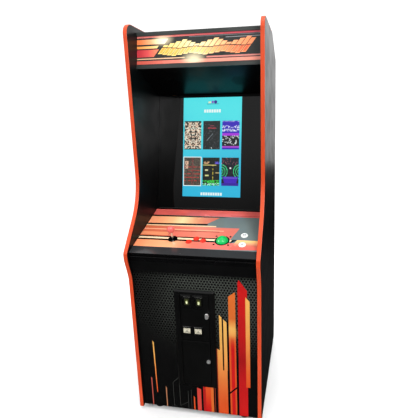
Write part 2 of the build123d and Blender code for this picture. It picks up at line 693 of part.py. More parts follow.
# ---------------------------------------------------------------- coin door
def door_spans():
    """Lower and upper Z of the two door openings."""
    low = DOOR_FRAME_LOW + DOOR_FLANGE + FOOT_LIFT
    high = DOOR_FRAME_LOW + DOOR_FRAME[1] - DOOR_FLANGE + FOOT_LIFT
    split = DOOR_SPLIT + FOOT_LIFT
    return {"lower": (low, split - BAR_HALF), "upper": (split + BAR_HALF, high)}


def make_coin_frame():
    half = DOOR_FRAME[0] / 2
    low = DOOR_FRAME_LOW + FOOT_LIFT
    high = low + DOOR_FRAME[1]
    front = KICK_FACE - FLANGE_THICK
    flange = block((-half, front, low), (half, KICK_FACE, high))
    flange = chamfer(flange.edges().group_by(Axis.Y)[0], 7.0)
    opening_half = DOOR_OPENING_WIDTH / 2
    spans = door_spans()
    sleeve_low, sleeve_high = spans["lower"][0], spans["upper"][1]
    frame = flange + block(
        (-opening_half - SLEEVE_WALL, KICK_FACE - 1, sleeve_low - SLEEVE_WALL),
        (opening_half + SLEEVE_WALL, KICK_FACE + SLEEVE_DEPTH, sleeve_high + SLEEVE_WALL),
    )
    for span_low, span_high in spans.values():
        sleeve_back = KICK_FACE + SLEEVE_DEPTH
        frame -= block((-opening_half, front - 1, span_low), (opening_half, sleeve_back + 1, span_high))
    strike_y = KICK_FACE + 9.0
    for lock_z in (UPPER_LOCK_Z, LOWER_LOCK_Z):
        strike_low = (opening_half - 2.5, strike_y, lock_z - 14)
        frame += block(strike_low, (opening_half + 1, strike_y + 2, lock_z + 14))
    pin_length = 9.0
    ears = (
        (sleeve_high + 0.6, sleeve_high + 6),
        (DOOR_SPLIT + FOOT_LIFT - 3.4, DOOR_SPLIT + FOOT_LIFT + 3.4),
        (sleeve_low - 6, sleeve_low - 0.6),
    )
    for ear_low, ear_high in ears:
        frame += block((PIN_X - 3, PIN_Y - 3, ear_low), (PIN_X + 3, front + 1, ear_high))
        pin_low = max(ear_low - pin_length, sleeve_low - 6)
        pin_high = min(ear_high + pin_length, sleeve_high + 6)
        frame += disc(PIN_RADIUS, pin_low, pin_high, PIN_X, PIN_Y)
    write("coin_door_frame", frame)


def blank_door(span_low, span_high):
    """Pressed tray with a rolled knuckle down its left edge."""
    low, high = span_low + GAP, span_high - GAP
    tray = block((-DOOR_HALF, DOOR_FACE, low), (DOOR_HALF, DOOR_FACE + TRAY_DEPTH, high))
    tray = chamfer(tray.edges().group_by(Axis.Y)[0].filter_by(Axis.X), 0.8)
    tray -= block(
        (-DOOR_HALF + DOOR_SHEET, DOOR_FACE + DOOR_SHEET, low + DOOR_SHEET),
        (DOOR_HALF - DOOR_SHEET, DOOR_FACE + TRAY_DEPTH + 1, high - DOOR_SHEET),
    )
    tray += disc(DOOR_KNUCKLE, low, high, PIN_X, PIN_Y)
    return tray - disc(PIN_RADIUS + RUN, low - 1, high + 1, PIN_X, PIN_Y)


def lock(lock_z, handle):
    """Cam lock that turns as one piece; the cam hangs down when it is unlocked."""
    face = DOOR_FACE - RUN
    cam_y = KICK_FACE + 11.3
    plug = rod_y(LOCK_RADIUS, face, DOOR_FACE + 4, LOCK_X, lock_z)
    plug += rod_y(LOCK_RADIUS - 2, DOOR_FACE + 3, cam_y + 1, LOCK_X, lock_z)
    plug += rod_y(LOCK_RADIUS + 1.5, face - 3, face, LOCK_X, lock_z)
    if handle:
        grip = Plane.XZ * SlotOverall(28, 17, rotation=90)
        grip = Pos(LOCK_X, face - 3, lock_z) * extrude(grip, 6)
        plug += fillet(grip.edges().group_by(Axis.Y)[0], 2.5)
    else:
        plug -= block((LOCK_X - 1, face - 4, lock_z - 4), (LOCK_X + 1, face - 1, lock_z + 4))
    return plug + block((LOCK_X - 4, cam_y, lock_z - CAM_REACH), (LOCK_X + 4, cam_y + 2, lock_z + 4))


def make_coin_doors():
    spans = door_spans()
    lower = blank_door(*spans["lower"])
    lower -= rod_y(LOCK_RADIUS + RUN, DOOR_FACE - 5, KICK_FACE + 5, LOCK_X, LOWER_LOCK_Z)
    write("lower_coin_door", lower)
    write("lower_coin_lock", lock(LOWER_LOCK_Z, False))

    upper = blank_door(*spans["upper"])
    upper -= rod_y(LOCK_RADIUS + RUN, DOOR_FACE - 5, KICK_FACE + 5, LOCK_X, UPPER_LOCK_Z)
    bezel_front = DOOR_FACE - BEZEL_THICK
    bezels = []
    mechanisms = []
    for name, x in ENTRY_PLACES.items():
        half_x, half_z = ENTRY_SIZE[0] / 2, ENTRY_SIZE[1] / 2
        low_corner = (x - half_x, bezel_front, ENTRY_Z - half_z)
        bezel = block(low_corner, (x + half_x, DOOR_FACE, ENTRY_Z + half_z))
        bezel = chamfer(bezel.edges().group_by(Axis.Y)[0], 1.5)
        button_x, button_z = x + REJECT_SHIFT[0], ENTRY_Z + REJECT_SHIFT[1]
        reject_x, reject_z = REJECT_SIZE[0] / 2, REJECT_SIZE[1] / 2
        hole = block(
            (button_x - reject_x - 0.1, bezel_front - 1, button_z - reject_z - 0.1),
            (button_x + reject_x + 0.1, DOOR_FACE + 5, button_z + reject_z + 0.1),
        )
        slot_x = x + SLOT_SHIFT
        slot_low = (slot_x - 1.5, bezel_front - 1, ENTRY_Z - 13)
        slot = block(slot_low, (slot_x + 1.5, DOOR_FACE + 5, ENTRY_Z + 13))
        bezels.append(bezel - hole - slot)
        upper -= hole
        upper -= slot
        button = block(
            (button_x - reject_x, bezel_front - 3, button_z - reject_z),
            (button_x + reject_x, DOOR_FACE + 6, button_z + reject_z),
        )
        button = fillet(button.edges().group_by(Axis.Y)[0], 1.2)
        write(f"coin_reject_button_{name}", button)
        mech_front = DOOR_FACE + TRAY_DEPTH
        mech = block((x - 22, mech_front, ENTRY_Z - 66), (x + 22, mech_front + 42, ENTRY_Z + 26))
        mech -= block((x - 18, mech_front - 1, ENTRY_Z - 60), (x - 4, mech_front + 36, ENTRY_Z + 27))
        mech += block((x - 3, mech_front + 42, ENTRY_Z - 40), (x + 16, mech_front + 50, ENTRY_Z - 12))
        lug = block((x - 22, DOOR_FACE + DOOR_SHEET, ENTRY_Z - 66), (x + 22, mech_front + 1, ENTRY_Z - 58))
        mechanisms.append(mech + lug)
    for name, x in RETURN_PLACES.items():
        half_x, half_z = RETURN_SIZE[0] / 2, RETURN_SIZE[1] / 2
        flap_x, flap_z = FLAP_SIZE[0] / 2, FLAP_SIZE[1] / 2
        low_corner = (x - half_x, bezel_front, RETURN_Z - half_z)
        bezel = block(low_corner, (x + half_x, DOOR_FACE, RETURN_Z + half_z))
        bezel = chamfer(bezel.edges().group_by(Axis.Y)[0], 1.5)
        hole = block(
            (x - flap_x - 0.3, bezel_front - 1, RETURN_Z - flap_z - 0.3),
            (x + flap_x + 0.3, DOOR_FACE + 5, RETURN_Z + flap_z + 0.9),
        )
        flap_middle = DOOR_FACE - 1.4
        pin_z = RETURN_Z + flap_z - 1.2
        pin_end = flap_x + 2.5
        bore = rod_x(FLAP_PIN + RUN, x - pin_end - 0.5, x + pin_end + 0.5, flap_middle, pin_z)
        bezels.append(bezel - hole - bore)
        upper -= hole
        flap = Pos(x, flap_middle, RETURN_Z) * Box(FLAP_SIZE[0], 2.0, FLAP_SIZE[1])
        flap += rod_x(FLAP_PIN, x - pin_end, x + pin_end, flap_middle, pin_z)
        write(f"coin_return_flap_{name}", flap)
    write("upper_coin_door", upper)
    write("upper_coin_lock", lock(UPPER_LOCK_Z, True))
    write("coin_bezels", group(bezels))
    write("coin_mechanisms", group(mechanisms))


# ---------------------------------------------------------------- inside the cabinet
def make_inside():
    wall = 1.5
    box_width, box_depth, box_height = CASH_BOX
    box_middle = (0, *point(75.0 + box_depth / 2, FLOOR + box_height / 2))
    cash_box = Pos(*box_middle) * Box(box_width, box_depth, box_height)
    hollow = Box(box_width - 2 * wall, box_depth - 2 * wall, box_height)
    write("cash_box", cash_box - Pos(*box_middle) * Pos(0, 0, wall) * hollow)

    supply = placed_block(-262, -150, (430, FLOOR), (600, FLOOR + 62))
    for index in range(9):
        start = 450 + index * 15
        supply -= placed_block(-240, -172, (start, FLOOR + 58), (start + 6, FLOOR + 63))
    write("power_supply", supply)

    board_x = GAME_BOARD_X
    game = placed_block(board_x - GAME_BOARD_THICK, board_x, *GAME_BOARD)
    margin = 12.0
    for depth in (GAME_BOARD[0][0] + margin, GAME_BOARD[1][0] - margin):
        for height in (GAME_BOARD[0][1] + margin, GAME_BOARD[1][1] - margin):
            y, z = point(depth, height)
            game += rod_x(4.0, board_x - 0.5, INNER, y, z)
    chips = (((340, 350), (390, 400), 8), ((410, 350), (460, 385), 4), ((340, 430), (480, 445), 10))
    for low, high, thick in chips:
        game += placed_block(board_x - GAME_BOARD_THICK - thick, board_x - 1, low, high)
    for row in range(4):
        start = 470 + row * 24
        game += placed_block(board_x - 5, board_x - 1, (340, start), (470, start + 10))
    write("game_board", game)

    x, z = INLET
    front_y = point(BACK_FRONT, 0)[0]
    half_x, half_z = INLET_SIZE[0] / 2 - 0.2, INLET_SIZE[1] / 2 - 0.2
    inlet = block((x - half_x, front_y - 14, z - half_z), (x + half_x, BACK_FACE, z + half_z))
    plate_face = BACK_FACE + 1.2
    inlet += block((x - half_x - 6, BACK_FACE, z - half_z - 5), (x + half_x + 6, plate_face, z + half_z + 5))
    inlet -= block((x - 20, BACK_FACE - 14, z - 9), (x + 2, plate_face + 1, z + 9))
    for pin_x in (-15, -9, -3):
        inlet += block((x + pin_x - 1, BACK_FACE - 15, z - 2), (x + pin_x + 1, BACK_FACE - 2, z + 2))
    inlet += block((x + 7, BACK_FACE, z - 9), (x + 19, BACK_FACE + 2, z + 9))
    write("power_inlet", inlet)


def cable(radius, places):
    """Round cable through (x, depth, height) places."""
    points = [(x, *point(depth, height)) for x, depth, height in places]
    path = Spline(*points)
    start = Plane(origin=path @ 0, z_dir=path % 0)
    return sweep(start * Circle(radius), path=path)


def make_harness():
    runs = (
        (3.5, ((-190, 650, 112), (-196, 636, 104), (-205, 615, 98), (-206, 602, 92))),
        (4.0, ((-148, 500, 100), (-60, 480, 96), (120, 450, 110), (230, 430, 180), (256, 410, 290))),
        (3.5, ((250, 400, 590), (200, 430, 720), (90, 450, 850), (20, 470, 960))),
        (3.0, ((240, 300, 340), (170, 220, 330), (110, 130, 360), (84, 66, 420))),
        (4.0, ((250, 290, 560), (200, 200, 640), (120, 150, 700), (20, 140, 740))),
    )
    write("wiring_harness", group([cable(radius, places) for radius, places in runs]))


make_sides()
make_boards()
make_back()
make_battens()
make_screws()
make_feet()
make_monitor()
make_marquee()
make_speakers()
make_hinge()
make_control_panel()
make_buttons()
make_joystick()
make_trackball()
make_coin_frame()
make_coin_doors()
make_inside()
make_harness()
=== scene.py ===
"""Looks of the upright arcade cabinet: finishes, printed artwork, turned controls, camera and light.

The scene is in metres. Layouts on a face and turned profiles are written in millimetres.
"""

import math

import bmesh
import bpy
from mathutils import Matrix, Vector


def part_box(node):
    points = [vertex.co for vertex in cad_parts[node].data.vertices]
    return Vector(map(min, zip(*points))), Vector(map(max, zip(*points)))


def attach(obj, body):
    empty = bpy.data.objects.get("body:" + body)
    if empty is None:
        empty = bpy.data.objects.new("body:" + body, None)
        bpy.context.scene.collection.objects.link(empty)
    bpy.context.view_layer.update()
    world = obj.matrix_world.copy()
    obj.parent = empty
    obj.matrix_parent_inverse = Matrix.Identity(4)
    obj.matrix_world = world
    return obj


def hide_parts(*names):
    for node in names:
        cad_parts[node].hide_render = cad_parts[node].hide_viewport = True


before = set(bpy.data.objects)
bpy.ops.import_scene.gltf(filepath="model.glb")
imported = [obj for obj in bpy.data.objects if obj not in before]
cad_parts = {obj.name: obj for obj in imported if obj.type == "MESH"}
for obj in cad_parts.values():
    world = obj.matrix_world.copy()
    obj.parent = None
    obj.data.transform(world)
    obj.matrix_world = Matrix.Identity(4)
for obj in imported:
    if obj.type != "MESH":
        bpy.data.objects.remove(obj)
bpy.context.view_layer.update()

MM = 0.001
BLACK = (0.006, 0.006, 0.0065)
X_AXIS = Vector((1, 0, 0))


# ---- shader formulas
def plug(tree, value, slot):
    """Links a Value into a shader input, or writes a plain number or colour there."""
    if isinstance(value, Value):
        tree.links.new(value.socket, slot)
    elif isinstance(value, (tuple, list, Vector)) and len(slot.default_value) == 4:
        slot.default_value = (*value[:3], 1.0)
    else:
        slot.default_value = value


class Value:
    """One output in a material's node tree, so that a pattern reads as a formula."""

    def __init__(self, tree, socket):
        self.tree = tree
        self.socket = socket

    def math(self, operation, *others):
        node = self.tree.nodes.new("ShaderNodeMath")
        node.operation = operation
        for value, slot in zip((self, *others), node.inputs):
            plug(self.tree, value, slot)
        return Value(self.tree, node.outputs[0])

    def __add__(self, other):
        return self.math("ADD", other)

    def __sub__(self, other):
        return self.math("SUBTRACT", other)

    def __mul__(self, other):
        return self.math("MULTIPLY", other)

    def __truediv__(self, other):
        return self.math("DIVIDE", other)

    def above(self, edge):
        return self.math("GREATER_THAN", edge)

    def below(self, edge):
        return self.math("LESS_THAN", edge)

    def near(self, middle, reach):
        return self.math("COMPARE", middle, reach)

    def between(self, low, high):
        return self.near((low + high) / 2, (high - low) / 2)

    def size(self):
        return self.math("ABSOLUTE")

    def snap(self, step):
        return self.math("SNAP", step)

    def ping(self, step):
        return self.math("PINGPONG", step)

    def wrap(self, high, low=0.0):
        return self.math("WRAP", high, low)

    def either(self, other):
        return self.math("MAXIMUM", other)

    def inverse(self):
        return self * -1.0 + 1.0

    def ramp(self, low, high, to_low=0.0, to_high=1.0):
        """Smooth rise from to_low at low to to_high at high."""
        node = self.tree.nodes.new("ShaderNodeMapRange")
        node.interpolation_type = "SMOOTHSTEP"
        for value, slot in zip((self, low, high, to_low, to_high), node.inputs):
            plug(self.tree, value, slot)
        return Value(self.tree, node.outputs[0])

    def colours(self, *stops):
        """Colour from (place, colour) stops."""
        node = self.tree.nodes.new("ShaderNodeValToRGB")
        elements = node.color_ramp.elements
        while len(elements) < len(stops):
            elements.new(0.5)
        for element, (place, colour) in zip(elements, stops):
            element.position = place
            element.color = (*colour, 1.0)
        self.tree.links.new(self.socket, node.inputs[0])
        return Value(self.tree, node.outputs[0])


class Finish:
    """A material under construction; place is the object's own position in metres."""

    def __init__(self, name, **shader):
        self.material = bpy.data.materials.new(name)
        self.material.use_nodes = True
        self.tree = self.material.node_tree
        self.shader = self.tree.nodes["Principled BSDF"]
        self.place = Value(self.tree, self.tree.nodes.new("ShaderNodeTexCoord").outputs["Object"])
        self.set(**shader)

    def set(self, **shader):
        """Writes shader inputs, named in lower case with underscores."""
        for name, value in shader.items():
            slot = self.shader.inputs[name.replace("_", " ").title().replace("Ior", "IOR")]
            plug(self.tree, value, slot)
        return self

    def dot(self, value, direction):
        node = self.tree.nodes.new("ShaderNodeVectorMath")
        node.operation = "DOT_PRODUCT"
        plug(self.tree, value, node.inputs[0])
        node.inputs[1].default_value = direction
        return Value(self.tree, node.outputs["Value"])

    def along(self, direction, origin=(0, 0, 0)):
        """Distance in millimetres along a direction, from an origin in metres."""
        return self.dot(self.place, Vector(direction) / MM) - Vector(direction).dot(Vector(origin)) / MM

    def noise(self, size, detail=2.0, rough=0.5, stretch=(1, 1, 1), seed=0.0):
        """Soft noise from 0 to 1 whose features are about size metres across."""
        mapping = self.tree.nodes.new("ShaderNodeMapping")
        plug(self.tree, self.place, mapping.inputs["Vector"])
        mapping.inputs["Location"].default_value = (seed, seed * 2, seed * 3)
        mapping.inputs["Scale"].default_value = stretch
        node = self.tree.nodes.new("ShaderNodeTexNoise")
        self.tree.links.new(mapping.outputs[0], node.inputs["Vector"])
        for name, value in (("Scale", 1 / size), ("Detail", detail), ("Roughness", rough)):
            node.inputs[name].default_value = value
        return Value(self.tree, node.outputs[0])

    def cells(self, x, y, seed=0.0):
        """A random number for each whole (x, y) cell."""
        join = self.tree.nodes.new("ShaderNodeCombineXYZ")
        for value, slot in zip((x, y, seed), join.inputs):
            plug(self.tree, value, slot)
        node = self.tree.nodes.new("ShaderNodeTexWhiteNoise")
        self.tree.links.new(join.outputs[0], node.inputs["Vector"])
        return Value(self.tree, node.outputs["Value"])

    def scuffs(self, share):
        """Short rubbed marks, most of them in the lowest quarter of a metre."""
        height = self.along((0, 0, 1))
        rubs = self.noise(0.025, 5, 0.7, stretch=(0.4, 0.4, 1.6), seed=21.0)
        low_down = height.ramp(40.0, 420.0, 0.0, 0.16)
        return (rubs - low_down).ramp(0.60, 0.72, 0.0, share)

    def mix(self, share, under, over):
        """Colour under, with over laid on it where share is 1."""
        node = self.tree.nodes.new("ShaderNodeMix")
        node.data_type = "RGBA"
        for value, slot in zip((share, under, over), (node.inputs[0], node.inputs[6], node.inputs[7])):
            plug(self.tree, value, slot)
        return Value(self.tree, node.outputs[2])

    def bump(self, height, depth):
        """Relief of the given depth in metres."""
        node = self.tree.nodes.new("ShaderNodeBump")
        node.inputs["Distance"].default_value = depth
        plug(self.tree, height, node.inputs["Height"])
        self.tree.links.new(node.outputs[0], self.shader.inputs["Normal"])
        return self


def finished(name, colour, roughness, grain=0.003, relief=0.000004, wear=0.2, scuffs=0.0, **shader):
    """A finish with slightly uneven colour, soft smudges in its gloss and a fine relief.

    Scuffs are pale rubbed marks, densest near the floor.
    """
    finish = Finish(name, **shader)
    patches = finish.noise(0.15, 3, 0.5, seed=len(name))
    smudges = finish.noise(0.09, 3, 0.5, seed=len(name) + 4.0)
    bright = tuple(min(1.0, part * (1 + wear) + 0.001 * wear) for part in colour)
    dark = tuple(part * (1 - wear * 0.6) for part in colour)
    tint = finish.mix(patches.ramp(0.3, 0.7), dark, bright)
    gloss = smudges.ramp(0.35, 0.75, roughness * 0.92, roughness * 1.18)
    if scuffs:
        marks = finish.scuffs(scuffs)
        tint = finish.mix(marks, tint, tuple(part + 0.05 for part in colour))
        gloss = gloss + marks * 0.25
    finish.set(base_color=tint, roughness=gloss)
    finish.bump(finish.noise(grain, 2, 0.5), relief)
    return finish


# ---- faces and meshes
class Face:
    """A flat outer face of a CAD node: the middle of its lower edge, and its directions."""

    def __init__(self, node, outward):
        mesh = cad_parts[node].data
        outward = Vector(outward).normalized()
        facing = [polygon for polygon in mesh.polygons if polygon.normal.dot(outward) > 0.98]
        self.normal = max(facing, key=lambda polygon: polygon.area).normal.copy()
        self.up = self.normal.cross(X_AXIS)
        corners = [mesh.vertices[index].co for polygon in facing for index in polygon.vertices]
        offset = max(corner.dot(self.normal) for corner in corners)
        on_face = [corner for corner in corners if corner.dot(self.normal) > offset - 0.05 * MM]
        heights = [corner.dot(self.up) for corner in on_face]
        self.origin = self.normal * offset + self.up * min(heights)
        self.height = max(heights) - min(heights)
        self.half_width = max(corner.x for corner in on_face)

    def place_of(self, node):
        """Millimetres across and up the face of a node's middle."""
        low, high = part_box(node)
        middle = (low + high) / 2 - self.origin
        return middle.x / MM, middle.dot(self.up) / MM

    def matrix(self, across, up):
        """Placement whose Z points out of the face."""
        rotation = Matrix((X_AXIS, self.up, self.normal)).transposed().to_4x4()
        return Matrix.Translation(self.origin + (X_AXIS * across + self.up * up) * MM) @ rotation

    def axes(self, finish, node):
        """Millimetres across and up from a node's middle, as shader values."""
        across, up = self.place_of(node)
        return finish.along(X_AXIS, self.origin) - across, finish.along(self.up, self.origin) - up


def add_piece(name, mesh, body, finish):
    piece = bpy.data.objects.new(name, mesh)
    bpy.context.scene.collection.objects.link(piece)
    if not mesh.materials:
        mesh.materials.append(finish.material)
    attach(piece, body)
    return piece


def lathe(bm, profile, matrix, segments=64):
    """Turns (radius, height) points in millimetres round the Z axis of a placement."""
    rings = []
    for radius, height in profile:
        if radius < 1e-6:
            rings.append([bm.verts.new(matrix @ Vector((0, 0, height * MM)))])
            continue
        ring = []
        for index in range(segments):
            angle = 2 * math.pi * index / segments
            spot = Vector((radius * math.cos(angle), radius * math.sin(angle), height)) * MM
            ring.append(bm.verts.new(matrix @ spot))
        rings.append(ring)
    for lower, upper in zip(rings, rings[1:]):
        for index in range(segments):
            after = (index + 1) % segments
            corners = [lower[index % len(lower)], lower[after % len(lower)]]
            corners += [upper[after % len(upper)], upper[index % len(upper)]]
            unique = list(dict.fromkeys(corners))
            if len(unique) > 2:
                bm.faces.new(unique)


def arc(centre_radius, centre_height, radius, start, end, steps=6):
    """Profile points on a circle, with angles in degrees from the outward direction."""
    points = []
    for index in range(steps + 1):
        angle = math.radians(start + (end - start) * index / steps)
        points.append((centre_radius + radius * math.cos(angle), centre_height + radius * math.sin(angle)))
    return points


def smooth_mesh(name, bm, sharp=40.0):
    """Finishes a bmesh into a mesh that shades smoothly except over sharp edges."""
    bmesh.ops.remove_doubles(bm, verts=bm.verts, dist=1e-6)
    bmesh.ops.recalc_face_normals(bm, faces=bm.faces)
    for face in bm.faces:
        face.smooth = True
    for edge in bm.edges:
        edge.smooth = not (edge.is_manifold and edge.calc_face_angle(0.0) > math.radians(sharp))
    mesh = bpy.data.meshes.new(name)
    bm.to_mesh(mesh)
    bm.free()
    return mesh


def turned(name, profile, matrix, body, finish, segments=64):
    bm = bmesh.new()
    lathe(bm, profile, matrix, segments)
    return add_piece(name, smooth_mesh(name, bm), body, finish)


def soften(node, width, segments=3):
    """Rounds the outer edges of a CAD node by width millimetres."""
    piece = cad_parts[node]
    weld = piece.modifiers.new("weld", "WELD")
    weld.merge_threshold = 0.01 * MM
    bevel = piece.modifiers.new("bevel", "BEVEL")
    bevel.width, bevel.segments = width * MM, segments
    bevel.limit_method, bevel.angle_limit = "ANGLE", math.radians(35.0)
    bevel.use_clamp_overlap, bevel.harden_normals = False, True
    bevel.miter_outer = "MITER_ARC"
    normals = piece.modifiers.new("normals", "WEIGHTED_NORMAL")
    normals.keep_sharp = True


def dress(finish, *nodes):
    """Gives CAD nodes one material."""
    for node in nodes:
        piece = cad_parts[node]
        piece.data.materials.clear()
        piece.data.materials.append(finish.material)


# ---- faces that the looks are laid on
FACING_PLAYER = (0, -0.98, 0.19)
KICK = Face("front_kick_panel", (0, -1, 0))
PANEL = Face("control_panel", (0, -0.32, 0.95))
GLASS = Face("monitor_glass", FACING_PLAYER)
MARQUEE = Face("marquee_panel", FACING_PLAYER)


# ---- camera, floor and light
CAMERA_PLACE = (0.471, -1.7083, 1.4133)
CAMERA_YAW, CAMERA_PITCH, CAMERA_ROLL = 0.17582, 0.22323, -0.01424
CAMERA_LENS = 30.37
CAMERA_SHIFT = (-0.0785, -0.0253)
FLOOR_RADIUS = 14.0
FLOOR_FADE_START, FLOOR_FADE_END = 900.0, 3200.0  # millimetres from the cabinet's middle
HORIZON_GLOW, SKY_GLOW, AROUND_GLOW = 0.015, 0.70, 0.70
LAMP_TARGET = Vector((0, 0, 1.0))


def ray_kinds(tree):
    """1 for rays that start at the camera, and 1 for rays that left a glossy surface."""
    ray = tree.nodes.new("ShaderNodeLightPath")
    return Value(tree, ray.outputs["Is Camera Ray"]), Value(tree, ray.outputs["Is Glossy Ray"])


def make_camera():
    data = bpy.data.cameras.new("camera")
    data.sensor_width = 36.0
    data.lens = CAMERA_LENS
    data.shift_x, data.shift_y = CAMERA_SHIFT
    camera = bpy.data.objects.new("camera", data)
    level = Matrix.Rotation(CAMERA_YAW, 4, "Z") @ Matrix.Rotation(math.pi / 2 - CAMERA_PITCH, 4, "X")
    camera.matrix_world = Matrix.Translation(CAMERA_PLACE) @ level @ Matrix.Rotation(CAMERA_ROLL, 4, "Z")
    bpy.context.scene.collection.objects.link(camera)
    bpy.context.scene.camera = camera


def make_floor():
    """Pale floor that turns into white with distance, and that mirrors see as dark."""
    bm = bmesh.new()
    bmesh.ops.create_circle(bm, cap_ends=True, segments=96, radius=FLOOR_RADIUS)
    floor_mesh = bpy.data.meshes.new("floor")
    bm.to_mesh(floor_mesh)
    bm.free()
    floor = bpy.data.objects.new("floor", floor_mesh)
    bpy.context.scene.collection.objects.link(floor)
    pale = Finish("pale_floor", roughness=0.9, specular_ior_level=0.0)
    seen, mirrored = ray_kinds(pale.tree)
    across, along = pale.along(X_AXIS), pale.along((0, 1, 0))
    distance = (across * across + along * along).math("SQRT")
    away = distance.ramp(FLOOR_FADE_START, FLOOR_FADE_END)
    grain = pale.noise(0.5, 2, 0.5).ramp(0.3, 0.7, 0.0, 0.04)
    near = pale.mix(mirrored, pale.mix(grain, (0.86, 0.86, 0.86), (0, 0, 0)), (0.03, 0.03, 0.03))
    pale.set(base_color=pale.mix(away, near, (0, 0, 0)))
    pale.set(emission_color=(1, 1, 1), emission_strength=away * seen)
    floor_mesh.materials.append(pale.material)


def make_surroundings():
    """White studio to the eye, dark below the horizon in reflections."""
    world = bpy.data.worlds.new("studio")
    bpy.context.scene.world = world
    world.use_nodes = True
    tree = world.node_tree
    background = tree.nodes["Background"]
    background.inputs["Color"].default_value = (1, 1, 1, 1)
    seen, mirrored = ray_kinds(tree)
    direction = tree.nodes.new("ShaderNodeTexCoord")
    split = tree.nodes.new("ShaderNodeSeparateXYZ")
    tree.links.new(direction.outputs["Generated"], split.inputs[0])
    height = Value(tree, split.outputs["Z"])
    mirror_light = height.ramp(-0.05, 0.40, HORIZON_GLOW, SKY_GLOW)
    strength = seen + mirrored * mirror_light + (seen + mirrored).inverse() * AROUND_GLOW
    plug(tree, strength, background.inputs["Strength"])


def make_lamps():
    """Soft square lamps; the last value says whether a lamp shows in reflections."""
    lamps = (
        ("key", (1.7, -3.0, 2.7), 1.0, 58.0, True),
        ("fill", (-2.9, -1.9, 1.9), 1.2, 34.0, True),
        ("top", (0.2, -0.6, 3.9), 1.6, 56.0, False),
        ("behind", (-0.6, 3.2, 2.5), 1.8, 80.0, False),
        ("rear_glow", (1.3, 3.2, 1.8), 2.2, 12.0, True),
        ("side", (3.4, 0.9, 1.5), 1.2, 30.0, True),
    )
    for name, place, size, power, reflected in lamps:
        data = bpy.data.lights.new(name, "AREA")
        data.shape, data.size, data.energy = "SQUARE", size, power
        lamp = bpy.data.objects.new(name, data)
        lamp.location = place
        lamp.rotation_euler = (LAMP_TARGET - Vector(place)).to_track_quat("-Z", "Y").to_euler()
        lamp.visible_glossy = reflected
        bpy.context.scene.collection.objects.link(lamp)


def make_stage():
    make_camera()
    make_floor()
    make_surroundings()
    make_lamps()
    bpy.context.scene.view_settings.view_transform = "Standard"
    bpy.context.scene.view_settings.look = "Medium High Contrast"


# ---- printed artwork
RED = (0.46, 0.012, 0.012)
DEEP_RED = (0.30, 0.006, 0.008)
FLAME = (0.54, 0.080, 0.018)
ORANGE = (0.54, 0.135, 0.028)
GOLD = (0.66, 0.37, 0.10)
SALMON = (0.75, 0.20, 0.11)
INK = (0.005, 0.005, 0.005)


class Drawing:
    """Shapes laid over each other; x and y are in millimetres."""

    def lay(self, mask, colour):
        self.colour = self.finish.mix(mask, self.colour, colour)

    def box(self, low_x, high_x, low_y, high_y):
        return self.x.between(low_x, high_x) * self.y.between(low_y, high_y)


class Sheet(Drawing):
    """A printed sheet on a face, measured from the middle of the face's lower edge."""

    def __init__(self, name, face, ground, **shader):
        self.finish = Finish(name, **shader)
        self.face = face
        self.x = self.finish.along(X_AXIS, face.origin)
        self.y = self.finish.along(face.up, face.origin)
        self.colour = ground

    def face_only(self):
        """Leaves the board's other faces plain."""
        tree = self.finish.tree
        normal = Value(tree, tree.nodes.new("ShaderNodeTexCoord").outputs["Normal"])
        front = self.finish.dot(normal, self.face.normal).above(0.9)
        self.colour = self.finish.mix(front, INK, self.colour)

    def side(self, start, end):
        """1 to the left of the line from start to end."""
        across, up = end[0] - start[0], end[1] - start[1]
        lean = self.y * across - self.x * up
        return lean.above(start[1] * across - start[0] * up)

    def shape(self, *corners):
        """Convex shape with its corners counter-clockwise."""
        mask = None
        for start, end in zip(corners, corners[1:] + corners[:1]):
            edge = self.side(start, end)
            mask = edge if mask is None else mask * edge
        return mask

    def bar(self, low_x, high_x, low_y, left_top, right_top, colour):
        """Upright bar whose top is cut on a slant."""
        mask = self.x.between(low_x, high_x) * self.y.above(low_y)
        self.lay(mask * self.side((high_x, right_top), (low_x, left_top)), colour)


